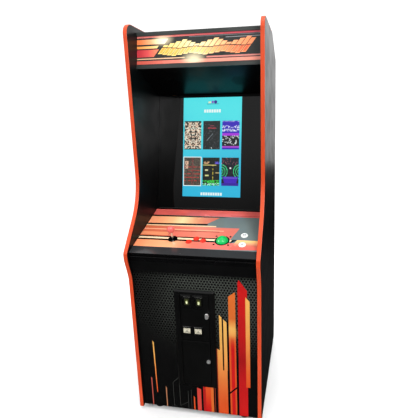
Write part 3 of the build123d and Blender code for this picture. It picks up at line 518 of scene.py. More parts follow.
def kick_artwork():
    """Rising bars of red, orange and gold on black, over a field of fine mesh that fades out, with a painted
    glint on the wide orange bar.
    """
    sheet = Sheet("kick_artwork", KICK, INK, coat_weight=0.12, coat_roughness=0.15, specular_ior_level=0.3)
    finish, x, y = sheet.finish, sheet.x, sheet.y
    pitch, row = 14.0, 12.0
    odd = ((y + row / 2) / (2 * row)).wrap(1.0).above(0.5)
    hole_x = (x + odd * (pitch / 2)).wrap(pitch / 2, -pitch / 2)
    hole_y = y.wrap(row / 2, -row / 2)
    web = (hole_x * hole_x + hole_y * hole_y).ramp(17.0, 26.0)
    fade = y.ramp(250.0, 640.0) * (x.ramp(-270.0, 10.0) * 0.8 + 0.2) * y.ramp(690.0, 716.0, 1.0, 0.4)
    sheet.lay(web * fade, (0.060, 0.066, 0.058))

    circuit = (0.050, 0.050, 0.046)
    for line_x, low, high in ((-128, -30, 142), (-96, 14, 254), (-54, 2, 104), (-38, 0, 112)):
        sheet.lay(sheet.box(line_x - 1.0, line_x + 1.0, low, high), circuit)
    for start, end in (((-128, 142), (-96, 174)), ((-96, 14), (-54, 40)), ((-128, 16), (-110, 0))):
        run = sheet.side((start[0], start[1] - 1.3), (end[0], end[1] - 1.3))
        run = run * sheet.side((end[0], end[1] + 1.3), (start[0], start[1] + 1.3))
        sheet.lay(run * x.between(start[0], end[0]), circuit)

    # The gold band in the middle of this ramp, near y 440, is a painted glint of light laid over the bar's
    # orange and red print.
    bar_with_painted_glint = y.ramp(365.0, 640.0).colours((0, FLAME), (0.28, GOLD), (0.55, ORANGE), (1, ORANGE))
    deep = y.ramp(-20.0, 620.0).colours((0, RED), (0.5, DEEP_RED), (1, RED))
    rise = finish.mix(y.ramp(0.0, 500.0), FLAME, GOLD)
    foot, under_door = 0.0, 138.0
    # each bar: left, right, foot, top at the left, top at the right, colour
    bars = (
        (98.7, 144.5, 0.0, 264.0, 264.0, rise),
        (95.0, 98.7, 0.0, 352.0, 350.0, (0.26, 0.030, 0.016)),
        (98.7, 111.0, 263.0, 352.0, 346.0, rise),
        (111.0, 123.5, 263.0, 527.0, 515.0, rise),
        (130.0, 146.0, 240.0, 505.0, 492.0, rise),
        (155.3, 187.6, 0.0, 620.0, 644.0, bar_with_painted_glint),
        (198.6, 204.5, 0.0, 690.0, 703.0, deep),
        (204.5, 241.0, 0.0, 703.0, 653.0, deep),
        (232.9, 252.1, 161.0, 623.0, 603.0, y.ramp(160.0, 625.0).colours((0, FLAME), (1, GOLD))),
        (-27.0, -20.0, 0.0, 80.0, 72.0, FLAME),
        (-8.0, 12.0, 0.0, 129.0, 122.0, (0.50, 0.060, 0.045)),
        (22.0, 35.0, foot, under_door, under_door, (0.36, 0.014, 0.012)),
        (35.0, 61.0, foot, under_door, under_door, y.ramp(0.0, 140.0).colours((0, RED), (1, FLAME))),
        (61.0, 74.0, foot, under_door, under_door, ORANGE),
        (80.0, 83.0, foot, under_door, under_door, (0.26, 0.04, 0.022)),
        (-167.5, -162.0, 0.0, 116.0, 108.0, (0.36, 0.17, 0.09)),
        (-240.5, -234.5, 0.0, 160.0, 152.0, (0.33, 0.075, 0.055)),
    )
    for bar in bars:
        sheet.bar(*bar)
    sheet.lay(sheet.box(164.0, 180.5, 0.0, 620.0) * y.ramp(350.0, 440.0, 1.0, 0.0), RED)
    # Painted glint: a soft gold diamond of light over the wide orange bar and the black on either side of it.
    painted_glint = x.ramp(138.0, 171.0) * x.ramp(204.0, 171.0) * y.ramp(405.0, 443.0) * y.ramp(481.0, 443.0)
    sheet.lay(painted_glint * 0.6, GOLD)
    sheet.lay(sheet.box(124.0, 129.5, 240.0, 520.0), INK)
    sheet.lay(sheet.shape((152, 112), (192, 152), (192, 162), (152, 122)), INK)
    sheet.lay(sheet.box(146.5, 154.5, 0.0, 500.0), INK)
    sheet.lay(sheet.shape((-214, 75), (-209, 75), (-212, 352), (-219, 362)),
              y.ramp(60.0, 366.0).colours((0, FLAME), (1, GOLD)))
    return close_print(sheet, 0.22)


def control_panel_artwork():
    """Bands of pink, orange and cream that run across and break off on a slant at the right, on black gloss
    painted grey as a reflection, with a painted highlight in the upper orange band.
    """
    # Painted reflection: the black gloss ground at the right of the panel is coloured grey-green to stand for
    # the light it mirrors.
    painted_reflection_grey = (0.175, 0.205, 0.200)
    sheet = Sheet("control_panel_artwork", PANEL, painted_reflection_grey, coat_weight=0.7, coat_roughness=0.10)
    finish, x, y = sheet.finish, sheet.x, sheet.y
    warm = finish.noise(0.12, 2, 0.5, seed=3.0).ramp(0.35, 0.7)
    peach, coral, rose = (0.78, 0.39, 0.21), (0.67, 0.180, 0.13), (0.67, 0.135, 0.12)
    sheet.lay(y.above(301.0), finish.mix(warm, rose, (0.84, 0.17, 0.14)))
    sheet.lay(y.between(309.0, 312.0) * x.above(120.0), (0.30, 0.05, 0.045))
    sheet.lay(y.above(354.0), INK)
    # The band is orange print. Its paling through yellow-orange to pale yellow from the left edge to x -115
    # is a painted highlight.
    band_with_painted_highlight = x.ramp(-290.0, 60.0).colours((0, (1.0, 0.40, 0.22)), (0.3, (1.0, 0.55, 0.28)),
                                        (0.5, (1.0, 0.74, 0.40)), (0.75, peach), (1, coral))
    sheet.lay(sheet.shape((-300, 228), (15, 236), (70, 290), (-300, 288)), band_with_painted_highlight)
    sheet.lay(sheet.shape((-300, 288), (70, 290), (120, 297), (-300, 301)), (0.05, 0.03, 0.02))
    sheet.lay(sheet.shape((-300, 218), (18, 224), (23, 236), (-300, 228)), INK)
    body = x.ramp(-290.0, 150.0).colours((0, (0.66, 0.17, 0.08)), (0.3, coral), (0.7, (0.80, 0.23, 0.16)),
                                         (1, coral))
    sheet.lay(sheet.shape((-300, 128), (152, 124), (182, 209), (-300, 212)), body)
    sheet.lay(sheet.shape((-300, 178), (110, 180), (110, 186), (-300, 186)), (0.93, 0.42, 0.27))
    sheet.lay(sheet.shape((-300, 207), (66, 213), (66, 221), (-300, 217)), (0.88, 0.58, 0.34))
    sheet.lay(sheet.box(66.0, 300.0, 209.0, 224.0), painted_reflection_grey)
    sheet.lay(sheet.shape((-140, 169), (92, 173), (92, 177), (-140, 173)), (0.20, 0.035, 0.025))
    sheet.lay(sheet.box(-300.0, -150.0, 136.0, 160.0), (0.84, 0.31, 0.16))
    sheet.lay(sheet.shape((-300, 121), (92, 121), (92, 128), (-300, 130)), INK)
    sheet.lay(sheet.box(-300.0, 164.0, 108.0, 121.0), (0.85, 0.63, 0.42))
    sheet.lay(sheet.box(-300.0, 150.0, 98.0, 108.0), INK)
    low = x.ramp(-290.0, 150.0).colours((0, (0.90, 0.32, 0.16)), (0.35, peach), (0.7, coral),
                                        (1, (0.78, 0.18, 0.15)))
    sheet.lay(sheet.shape((-300, 48), (158, 52), (176, 98), (-300, 98)), low)
    front = y.ramp(56.0, 122.0).colours((0, (0.82, 0.15, 0.12)), (0.4, coral), (0.75, peach),
                                        (1, (0.98, 0.56, 0.22)))
    sheet.lay(sheet.shape((158, 52), (300, 59), (300, 122), (184, 122)), front)
    sheet.lay(sheet.shape((156, 97), (158, 97), (186, 122), (160, 122)), INK)
    sheet.lay(y.below(48.0), (0.040, 0.040, 0.042))
    return close_print(sheet, 0.24)


def marquee_artwork():
    """Slanted blades that step up and down like a level meter, between long stripes, lit from behind, with
    two painted highlights.
    """
    sheet = Sheet("marquee_artwork", MARQUEE, (0.030, 0.033, 0.031), coat_weight=0.3, coat_roughness=0.16,
                  specular_ior_level=0.3)
    finish, x, y = sheet.finish, sheet.x, sheet.y
    slope = 0.78
    slant = x - y * slope
    pale = (0.95, 0.82, 0.55)
    rose = (0.44, 0.070, 0.090)
    sheet.lay(y.between(133.0, 145.0), finish.mix(x.ramp(-250.0, 200.0), (0.60, 0.17, 0.15), rose))
    sheet.lay(y.between(128.0, 130.5) * x.above(-40.0), (0.16, 0.16, 0.17))
    sheet.lay(y.between(118.5, 121.0) * x.above(125.0), (0.26, 0.25, 0.26))
    sheet.lay(y.between(17.0, 32.0), finish.mix(x.ramp(-280.0, 20.0), (0.56, 0.11, 0.08), (0.64, 0.25, 0.19)))
    sheet.lay(y.between(38.0, 43.0) * x.below(-60.0), (0.66, 0.42, 0.26))
    sheet.lay(y.between(36.0, 43.0) * x.above(40.0), (0.52, 0.20, 0.17))
    for low, high, end, colours in (
        (104.0, 126.0, -154.0, ((0, (0.72, 0.20, 0.07)), (0.6, (0.90, 0.50, 0.26)), (1, pale))),
        (86.0, 97.0, -190.0, ((0, (0.80, 0.30, 0.08)), (1, (0.92, 0.62, 0.26)))),
        (49.0, 81.0, -205.0, ((0, (0.50, 0.045, 0.06)), (0.55, (0.62, 0.09, 0.09)), (1, SALMON))),
    ):
        run = y.between(low, high) * sheet.side((end, low), (end + (high - low) * slope, high))
        sheet.lay(run, x.ramp(-287.0, end + 20.0).colours(*colours))
    warmth = x.ramp(-220.0, 235.0)
    blade = warmth.colours((0, (0.86, 0.58, 0.16)), (0.45, (0.92, 0.74, 0.40)), (0.75, (0.86, 0.48, 0.24)),
                           (1, (0.76, 0.26, 0.12)))
    pitch, first, count, parting = 24.0, -236.0, 17, 88.0
    number = ((slant - first) / pitch).math("FLOOR")
    place = (slant - first).wrap(pitch)
    field = slant.between(first, first + pitch * count)
    step = number.ping(3.0)
    top, bottom = step * 7.0 + 98.0, step * -3.5 + 60.0
    body = place.between(3.0, pitch) * field * (top - y).above(0.0) * (y - bottom).above(0.0)
    sheet.lay(body * (y - parting + step * 2.0).size().above(1.6), blade)
    lower = body * (y + step * 2.0).below(parting - 1.6)
    lower = lower * place.between(7.0, pitch - 4.0) * (y - bottom).above(4.0)
    ember = warmth.colours((0, (0.80, 0.34, 0.06)), (0.5, (0.90, 0.50, 0.18)), (1, (0.60, 0.12, 0.06)))
    sheet.lay(lower, ember)
    # Painted highlights: two soft pale spots, at the top left and low in the middle, stand for lamps shining
    # on the glossy marquee.
    for painted_highlight_x, painted_highlight_y, reach in ((-163.0, 122.0, 62.0), (-20.0, 34.0, 70.0)):
        far = ((x - painted_highlight_x) * (x - painted_highlight_x) + (y - painted_highlight_y) * (y - painted_highlight_y) * 3.0).math("SQRT")
        sheet.lay(far.ramp(0.0, reach, 0.75, 0.0) * finish.noise(0.02, 2).ramp(0.0, 1.0, 0.85, 1.0), pale)
    return close_print(sheet, 0.26, glow=0.14)


def close_print(sheet, roughness, glow=0.0):
    """Slightly uneven tone, smudges in the gloss and a faint waviness over a printed sheet."""
    finish = sheet.finish
    sheet.face_only()
    tone = finish.noise(0.10, 2, 0.5).ramp(0.2, 0.8, 0.94, 1.04)
    node = finish.tree.nodes.new("ShaderNodeVectorMath")
    node.operation = "SCALE"
    plug(finish.tree, sheet.colour, node.inputs[0])
    plug(finish.tree, tone, node.inputs["Scale"])
    shaded = Value(finish.tree, node.outputs[0])
    smudge = finish.noise(0.08, 3, 0.5, seed=6.0).ramp(0.35, 0.75, roughness * 0.92, roughness * 1.15)
    finish.set(base_color=shaded, roughness=smudge)
    if glow:
        finish.set(emission_color=shaded, emission_strength=glow)
    finish.bump(finish.noise(0.004, 2, 0.5, seed=2.0), 0.000004)
    return finish


# ---- screen and glass
CYAN_HIGH = (0.10, 0.78, 0.84)
CYAN_LOW = (0.035, 0.50, 0.76)
WHITE = (0.9, 0.95, 0.95)


class Picture(Drawing):
    """A small game picture on the screen, drawn in its own square picture cells."""

    def __init__(self, sheet, low_x, high_x, low_y, high_y, cell, ground):
        self.sheet = sheet
        self.finish = sheet.finish
        self.cell = cell
        self.area = sheet.box(low_x, high_x, low_y, high_y)
        self.x = (sheet.x - (low_x + high_x) / 2).snap(cell)
        self.y = (sheet.y - low_y).snap(cell)
        self.colour = ground

    def speckle(self, share, seed, x=None):
        """1 in a random share of the cells."""
        cell_x = (x or self.x) / self.cell + 0.5
        cell_y = self.y / self.cell + 0.5
        return self.finish.cells(cell_x.math("FLOOR"), cell_y.math("FLOOR"), seed).below(share)

    def done(self):
        self.sheet.lay(self.area, self.colour)


def screen_picture():
    """A menu of six made-up game pictures on a blue-green ground."""
    face = Face("monitor_screen", FACING_PLAYER)
    wide, high = 2 * face.half_width / MM, face.height / MM
    sheet = Sheet("lit_screen", face, BLACK, roughness=0.3, base_color=BLACK)
    x, y = sheet.x, sheet.y
    drift = sheet.finish.noise(0.3, 1, 0.4, seed=9.0).ramp(0.3, 0.7, -0.15, 0.15)
    sheet.colour = sheet.finish.mix((y / high + drift).ramp(0.0, 1.0), CYAN_LOW, CYAN_HIGH)
    margin, step, tile_wide, border = 7.0, 101.0, 90.0, 4.0
    left = margin - wide / 2
    columns = [(left + index * step, left + index * step + tile_wide) for index in range(3)]
    rows = ((high - 268.0, high - 121.0), (high - 455.0, high - 310.0))
    (tile_left, tile_right), (tile_low, tile_high) = columns[0], rows[1]
    frame_round = sheet.box(tile_left - border, tile_right + border, tile_low - border, tile_high + border)
    sheet.lay(frame_round, WHITE)

    maze = Picture(sheet, *columns[0], *rows[0], 4.6, (0.010, 0.006, 0.005))
    mirror = maze.x.size()
    maze.lay(maze.speckle(0.46, 3.0, mirror), (0.86, 0.60, 0.46))
    maze.lay(maze.speckle(0.16, 5.0, mirror), (0.9, 0.86, 0.74))
    maze.lay(maze.y.above(138.0).either(maze.y.below(4.0)), (0.01, 0.01, 0.01))
    maze.done()

    space = Picture(sheet, *columns[1], *rows[0], 2.1, (0.012, 0.014, 0.017))
    space.lay(space.speckle(0.012, 8.0), (0.30, 0.30, 0.34))
    space.lay(space.box(-22, 22, 106, 113) * space.speckle(0.8, 2.0), (0.55, 0.05, 0.08))
    space.lay(space.box(-9, 12, 118, 122), (0.30, 0.05, 0.09))
    streak = (space.y - space.x * 1.1 - 74.0).size().below(1.4) * space.x.between(-26, 6)
    space.lay(streak, (0.35, 0.38, 0.42))
    space.lay(space.box(-4, 2, 4, 9), WHITE)
    space.done()

    river = Picture(sheet, *columns[2], *rows[0], 4.4, (0.045, 0.012, 0.50))
    for low_y in (116.0, 96.0):
        river.lay(river.y.near(low_y, 6.0) * river.speckle(0.45, low_y), (0.85, 0.88, 1.0))
    river.lay(river.y.between(70, 80), (0.44, 0.04, 0.72))
    river.lay(river.y.between(14, 70), (0.008, 0.008, 0.012))
    river.lay(river.y.between(18, 66) * river.speckle(0.16, 11.0), (0.92, 0.93, 0.95))
    river.lay(river.y.between(8, 14), (0.45, 0.06, 0.62))
    river.lay(river.y.above(137.0) * river.speckle(0.5, 6.0), (0.55, 0.50, 0.9))
    river.done()

    ruins = Picture(sheet, *columns[0], *rows[1], 3.6, (0.075, 0.052, 0.042))
    ruins.lay(ruins.speckle(0.35, 15.0), (0.16, 0.13, 0.10))
    for index in range(5):
        course = ruins.y.near(21.6 + index * 18.0, 1.9)
        ruins.lay(course * ruins.speckle(0.7, 20.0 + index), (0.66, 0.05, 0.04))
    tower = ruins.y.near(104.0, 20.0) * ruins.x.near(-34.0, 9.0)
    ruins.lay(tower * ruins.speckle(0.7, 31.0), (0.86, 0.52, 0.38))
    ruins.lay(ruins.x.near(0.0, 7.0) * ruins.speckle(0.5, 33.0), (0.26, 0.05, 0.05))
    ruins.done()

    ladders = Picture(sheet, *columns[1], *rows[1], 4.0, (0.006, 0.008, 0.005))
    ladders.lay(ladders.y.near(104.0, 3.0) * ladders.x.below(26.0), (0.80, 0.66, 0.22))
    ladders.lay(ladders.y.near(78.0, 2.8) * ladders.x.near(-26.0, 8.0), (0.78, 0.72, 0.42))
    ladders.lay(ladders.y.near(64.0, 2.8) * ladders.x.above(22.0), (0.80, 0.60, 0.26))
    ladders.lay(ladders.y.near(50.0, 2.8) * ladders.x.near(-24.0, 9.0), (0.72, 0.70, 0.30))
    rungs = ladders.x.near(8.0, 2.6) * ladders.y.between(26.0, 100.0)
    ladders.lay(rungs * ladders.speckle(0.7, 41.0), (0.66, 0.52, 0.05))
    ladders.lay(ladders.y.below(26.0) * ladders.speckle(0.6, 42.0), (0.05, 0.62, 0.08))
    ladders.lay(ladders.y.below(10.0) * ladders.speckle(0.5, 43.0), (0.5, 0.85, 0.75))
    ladders.lay(ladders.box(18, 44, 112, 122) * ladders.speckle(0.7, 44.0), (0.16, 0.12, 0.72))
    ladders.lay(ladders.box(-40, -12, 112, 120) * ladders.speckle(0.5, 45.0), (0.72, 0.42, 0.22))
    ladders.done()

    court = Picture(sheet, *columns[2], *rows[1], 2.8, (0.008, 0.008, 0.020))
    far = court.x.size() - 48.0
    ring = (far * far + (court.y - 72.0) * (court.y - 72.0) * 0.8).math("SQRT")
    court.lay(ring.wrap(11.0).above(7.5) * ring.below(33.0), (0.04, 0.72, 0.28))
    court.lay(court.speckle(0.04, 51.0) * court.y.above(98.0), (0.8, 0.25, 0.3))
    court.lay(court.box(-4.5, 4.5, 86, 95), (1.0, 0.88, 0.92))
    court.lay(court.y.below(46.0) * (court.y * 0.35 + 26.0 - court.x.size()).above(0.0), (0.07, 0.015, 0.52))
    court.lay(court.y.near(38.0, 1.4) * court.x.near(0.0, 34.0), (0.30, 0.20, 0.80))
    court.lay(court.y.below(12.0), (0.05, 0.015, 0.36))
    court.done()

    dash, pitch = 10.0, 13.0
    dashes = (x + dash / 2).wrap(pitch).below(dash)
    for middle, half_wide, half_high in ((high - 70.0, 44.5, 8.0), (15.0, 57.5, 7.5)):
        sheet.lay(sheet.box(-half_wide, half_wide, middle - half_high, middle + half_high) * dashes, WHITE)
    emblem = high - 24.0
    disc = (x - 16.0) * (x - 16.0) + (y - emblem) * (y - emblem)
    sheet.lay(disc.below(70.0), (0.05, 0.02, 0.30))
    sheet.lay(sheet.box(-4.0, 6.0, emblem - 6, emblem + 6), (0.30, 0.08, 0.55))
    sheet.lay(sheet.box(-22.0, -8.0, emblem - 6, emblem + 3), (0.85, 0.85, 0.55))
    sheet.lay(sheet.box(-30.0, 34.0, emblem - 11, emblem - 9), (0.03, 0.10, 0.12))
    lines = y.wrap(1.2).ramp(0.0, 0.5, 0.93, 1.0)
    sheet.finish.set(emission_color=sheet.colour, emission_strength=lines * 0.90)
    return sheet.finish


def screen_glass():
    """Tempered glass painted black on its back, with a clear window over the display."""
    sheet = Sheet("glass", GLASS, BLACK, roughness=0.03, ior=1.5)
    finish, tree = sheet.finish, sheet.finish.tree
    screen, overlap = Face("monitor_screen", FACING_PLAYER), 0.5
    start = (screen.origin - GLASS.origin).dot(GLASS.up) / MM - overlap
    end = start + screen.height / MM + 2 * overlap
    window = sheet.x.near(0.0, screen.half_width / MM + overlap) * sheet.y.between(start, end)
    smears = finish.noise(0.06, 4, 0.6, stretch=(1, 1, 0.4), seed=5.0)
    finish.set(base_color=(0.004, 0.004, 0.004), roughness=smears.ramp(0.4, 0.75, 0.02, 0.06))
    clear = tree.nodes.new("ShaderNodeBsdfTransparent")
    clear.inputs[0].default_value = (0.93, 0.96, 0.95, 1)
    shine = tree.nodes.new("ShaderNodeBsdfGlossy")
    shine.inputs["Roughness"].default_value = 0.03
    fresnel = tree.nodes.new("ShaderNodeFresnel")
    fresnel.inputs["IOR"].default_value = 1.5
    pane = tree.nodes.new("ShaderNodeMixShader")
    facing = Value(tree, tree.nodes.new("ShaderNodeNewGeometry").outputs["Backfacing"]).inverse()
    plug(tree, Value(tree, fresnel.outputs[0]) * facing, pane.inputs[0])
    tree.links.new(clear.outputs[0], pane.inputs[1])
    tree.links.new(shine.outputs[0], pane.inputs[2])
    choose = tree.nodes.new("ShaderNodeMixShader")
    plug(tree, window, choose.inputs[0])
    tree.links.new(finish.shader.outputs[0], choose.inputs[1])
    tree.links.new(pane.outputs[0], choose.inputs[2])
    tree.links.new(choose.outputs[0], tree.nodes["Material Output"].inputs["Surface"])
    return finish


def reject_lens(node):
    """Smoked lens with a lamp behind it that shows up a coin over a slot."""
    finish = Finish(node + "_lens", roughness=0.15, coat_weight=0.6)
    x, y = KICK.axes(finish, node)
    coin = (x * x + (y + 1.0) * (y + 1.0) * 0.8).math("SQRT")
    glow = (x * x * 0.9 + y * y * 0.35).math("SQRT").ramp(2.0, 8.5, 1.0, 0.06)
    slot = x.near(0.0, 4.8) * y.near(-8.2, 1.0)
    symbol = (coin.below(4.6) * coin.above(3.1)).either(coin.below(1.6)).either(slot)
    finish.set(base_color=finish.mix(symbol, (0.02, 0.022, 0.012), (0.50, 0.52, 0.36)))
    light = finish.mix(symbol, (0.20, 0.22, 0.055), (0.95, 1.0, 0.62))
    return finish.set(emission_color=light, emission_strength=glow * 0.75)


def bezel_print():
    """Gloss black bezels with a row of plain pale dashes over each entry and each return."""
    sheet = Sheet("black_bezels", KICK, (0.004, 0.004, 0.004), coat_weight=0.4)
    finish, x, y = sheet.finish, sheet.x, sheet.y
    for kind, above in (("coin_reject_button_", 23.0), ("coin_return_flap_", 20.0)):
        for side in ("left", "right"):
            across, up = KICK.place_of(kind + side)
            row = x.near(across, 17.0) * y.near(up + above, 0.9) * (x - across).wrap(4.2).below(3.0)
            sheet.lay(row, (0.16, 0.16, 0.15))
    film = finish.noise(0.02, 3, 0.5, seed=13.0)
    finish.set(base_color=sheet.colour, roughness=film.ramp(0.3, 0.7, 0.16, 0.24))
    return finish.bump(finish.noise(0.002, 2, 0.5), 0.000004)


def return_plate(node):
    """Ivory plate, faintly lit, with an arrowhead between two lines."""
    finish = Finish(node + "_plate", coat_weight=0.3)
    x, y = KICK.axes(finish, node)
    age = finish.noise(0.012, 4, 0.6, seed=31.0)
    ivory = finish.mix(age.ramp(0.3, 0.75), (0.46, 0.44, 0.35), (0.36, 0.33, 0.25))
    arrow = (x.size() + y * 0.9).between(-3.6, 1.4) * y.between(-6.0, 5.5)
    rules = (y.near(8.0, 0.8).either(y.near(-8.5, 0.8))) * x.near(0.0, 12.0)
    ink = finish.mix(arrow.either(rules), ivory, (0.10, 0.095, 0.085))
    finish.set(base_color=ink, roughness=age.ramp(0.3, 0.7, 0.25, 0.4))
    return finish.set(emission_color=ink, emission_strength=0.35)


# ---- controls
def make_buttons(red, white, marks):
    """Concave push buttons in rounded rims.

    Profiles are (radius, height above the panel).
    """
    rims = {"red": bmesh.new(), "start": bmesh.new()}
    radii = {"red": (14.5, 12.0, 10.4), "start": (16.5, 14.0, 12.4)}
    cap_foot, sleeve_top, sleeve_foot = -22.0, -20.0, -32.0
    names = [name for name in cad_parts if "_button_" in name and not name.startswith("coin")]
    for name in names:
        kind = name.split("_")[0]
        rim, barrel, cap = radii[kind]
        matrix = PANEL.matrix(*PANEL.place_of(name))
        dish = [(0, 4.35), (cap * 0.35, 4.4), (cap * 0.6, 4.62), (cap * 0.78, 5.0)]
        edge = arc(cap - 1.5, 3.75, 1.5, 80, 0, 8)
        profile = dish + edge + [(cap, cap_foot), (0, cap_foot)]
        finish = red if kind == "red" else marks[name]
        turned_cap = turned(name + "_cap", profile, matrix, name, finish)
        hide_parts(name)
        bore = cap + 0.2
        ring = arc(cap + 1.1, 1.6, 0.9, 180, 90, 4) + arc(rim - 1.7, 0.9, 1.6, 90, 0, 8)
        sleeve = [(rim, 0.0), (barrel, 0.0), (barrel, sleeve_foot), (bore, sleeve_foot), (bore, sleeve_top)]
        lathe(rims[kind], [(bore, sleeve_top)] + ring + sleeve, matrix)
    for kind, finish in (("red", red), ("start", white)):
        mesh = smooth_mesh(kind + "_button_rims", rims[kind])
        piece = add_piece(kind + "_button_rims", mesh, "control_panel", finish)
        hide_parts("button_housings")


def start_marks(name, count):
    """White plastic with count small player figures, each a head over shoulders."""
    finish = Finish(name + "_white", roughness=0.25, coat_weight=0.5, subsurface_weight=0.1)
    x, y = PANEL.axes(finish, name)
    mark = None
    for index in range(count):
        figure_x = x - (index - (count - 1) / 2) * 7.0
        head = (figure_x * figure_x + (y - 2.8) * (y - 2.8)).below(4.4)
        shoulders = (figure_x * figure_x + (y + 4.0) * (y + 4.0) * 0.5).below(10.0) * y.above(-4.2)
        figure = head.either(shoulders)
        mark = figure if mark is None else mark.either(figure)
    age = finish.noise(0.01, 3, 0.6, seed=7.0).ramp(0.3, 0.8)
    white = finish.mix(age, (0.88, 0.88, 0.85), (0.82, 0.82, 0.78))
    return finish.set(base_color=finish.mix(mark, white, (0.02, 0.02, 0.025)))


def make_joystick(ball_finish, black):
    """Ball top with a socket for its shaft, and the dust washer under it."""
    across, up = PANEL.place_of("joystick_dust_washer")
    low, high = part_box("joystick_ball_top")
    radius = (high.x - low.x) / 2 / MM
    centre = ((low + high) / 2 - PANEL.origin).dot(PANEL.normal) / MM
    profile = arc(0, centre, radius, -90, 90, 40)
    profile[0], profile[-1] = (0, profile[0][1]), (0, profile[-1][1])
    profile = [(4.9, centre - radius + 9.0), (4.9, profile[2][1] - 0.4)] + profile[3:]
    ball = turned("ball_top", profile, PANEL.matrix(across, up), "joystick", ball_finish)
    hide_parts("joystick_ball_top")
    ring = [(10.7, 0.02), (10.7, 1.0)] + arc(11.5, 0.5, 0.68, 140, 90, 3)
    ring += [(14.0, 1.15), (18.0, 1.0), (20.8, 0.75)] + arc(21.4, 0.4, 0.35, 60, 0, 3) + [(21.9, 0.02)]
    place = PANEL.matrix(across, up)
    washer = turned("dust_washer", ring + [ring[0]], place, "control_panel", black)
    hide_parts("joystick_dust_washer")


def make_trackball(black, ball_finish):
    """Rounded collar between the trackball and the panel."""
    dress(ball_finish, "trackball")
    across, up = PANEL.place_of("trackball")
    ring = [(29.5, -3.0)] + arc(30.4, 1.0, 0.9, 180, 90, 5) + [(31.4, 1.95)]
    ring += arc(32.6, 0.9, 1.1, 70, 0, 6) + [(33.7, 0.03), (31.15, 0.03), (31.15, -3.0), (29.5, -3.0)]
    turned("trackball_collar", ring, PANEL.matrix(across, up), "control_panel", black, 96)


def make_feet(rubber, metal):
    """Levelling feet: moulded pads, hexagonal nuts and threaded stems."""
    low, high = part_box("levelling_feet")
    cad_pad = 19 * MM
    pads, stems = bmesh.new(), bmesh.new()
    pad = [(0, 0.0), (22.5, 0.0)] + arc(24.0, 1.5, 1.5, -90, 0, 4) + arc(23.0, 6.5, 2.5, 0, 70, 4)
    pad += [(20.5, 9.6), (13.0, 11.6), (10.0, 14.0), (9.2, 16.5), (0, 16.5)]
    nut = [(5.4, 17.0), (8.0, 17.0), (8.9, 17.6), (8.9, 23.4), (8.0, 24.0), (5.4, 24.0), (5.4, 17.0)]
    root, crest, pitch = 4.3, 4.9, 1.5
    thread = [(root, 16.0)]
    for index in range(27):
        thread += [(crest, 16.6 + index * pitch), (root, 17.35 + index * pitch)]
    thread += [(4.6, 58.5), (4.6, 84.0), (0, 85.5)]
    for x in (low.x + cad_pad, high.x - cad_pad):
        for y in (low.y + cad_pad, high.y - cad_pad):
            place = Matrix.Translation((x, y, 0))
            lathe(pads, pad, place, 48)
            lathe(stems, nut, place, 6)
            lathe(stems, thread, place, 20)
    feet = add_piece("foot_pads", smooth_mesh("foot_pads", pads), "cabinet", rubber)
    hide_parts("levelling_feet")
    rods = add_piece("foot_stems", smooth_mesh("foot_stems", stems, 25.0), "cabinet", metal)
    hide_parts("levelling_feet")


def make_glass_sill(finish):
    """Angle strip that holds the lower edge of the glass behind the control panel."""
    low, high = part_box("monitor_glass")
    bottom, back = low.z + 0.014, low.y + 0.001
    profile = ((-0.007, 0.0), (0.004, 0.0), (0.004, -0.007), (0.0025, -0.007), (0.0025, -0.0015),
               (-0.007, -0.0015))
    bm = bmesh.new()
    ends = []
    for x in (low.x + 0.0008, high.x - 0.0008):
        ends.append([bm.verts.new((x, back + out, bottom + up)) for out, up in profile])
    for index in range(len(profile)):
        after = (index + 1) % len(profile)
        bm.faces.new((ends[0][index], ends[0][after], ends[1][after], ends[1][index]))
    for end in ends:
        bm.faces.new(end)
    bmesh.ops.recalc_face_normals(bm, faces=bm.faces)
    bmesh.ops.bevel(bm, geom=bm.edges[:], offset=0.0004, segments=2, affect="EDGES")
    add_piece("glass_sill", smooth_mesh("glass_sill", bm, 60.0), "cabinet", finish)


# ---- put together
make_stage()
laminate = finished("black_laminate", (0.0042, 0.0042, 0.0045), 0.34, grain=0.0022, relief=0.000012,
                    scuffs=0.35, specular_ior_level=0.38)
painted = finished("black_paint", (0.013, 0.013, 0.0135), 0.46, grain=0.0035, relief=0.00003, scuffs=0.3)
moulding = finished("t_moulding", (0.55, 0.072, 0.022), 0.30, wear=0.08, coat_weight=0.15,
                    coat_roughness=0.15)
black_plastic = finished("black_plastic", (0.006, 0.006, 0.0065), 0.34, grain=0.0012, relief=0.000010)
gloss_black = finished("gloss_black", (0.004, 0.004, 0.004), 0.16, coat_weight=0.5)
powder = finished("black_powder_coat", (0.0036, 0.0036, 0.0036), 0.38, grain=0.0011, relief=0.000022)
grey_trim = finished("grey_trim", (0.036, 0.040, 0.038), 0.36, grain=0.0012, relief=0.000008)
steel = finished("zinc_steel", (0.55, 0.55, 0.54), 0.30, grain=0.0015, relief=0.000010, metallic=1.0)
chrome = finished("chrome", (0.74, 0.74, 0.73), 0.14, wear=0.05, metallic=1.0)
lock_metal = finished("lock_metal", (0.86, 0.86, 0.84), 0.36, wear=0.10, metallic=0.85)
dark_bolts = finished("black_bolts", (0.010, 0.010, 0.011), 0.28, metallic=0.6)
red_plastic = finished("red_button", (0.68, 0.045, 0.026), 0.20, wear=0.08, coat_weight=0.6)
white_plastic = finished("white_button", (0.84, 0.85, 0.82), 0.24, wear=0.05, coat_weight=0.4)
ball_red = finished("ball_top", (0.72, 0.15, 0.13), 0.18, wear=0.08, coat_weight=0.6, subsurface_weight=0.15)
rubber = finished("rubber", (0.010, 0.010, 0.010), 0.62, grain=0.0015, relief=0.00002)
lamp_white = finished("lamp_white", (0.80, 0.80, 0.77), 0.35, emission_color=(1, 0.96, 0.88),
                      emission_strength=0.5)

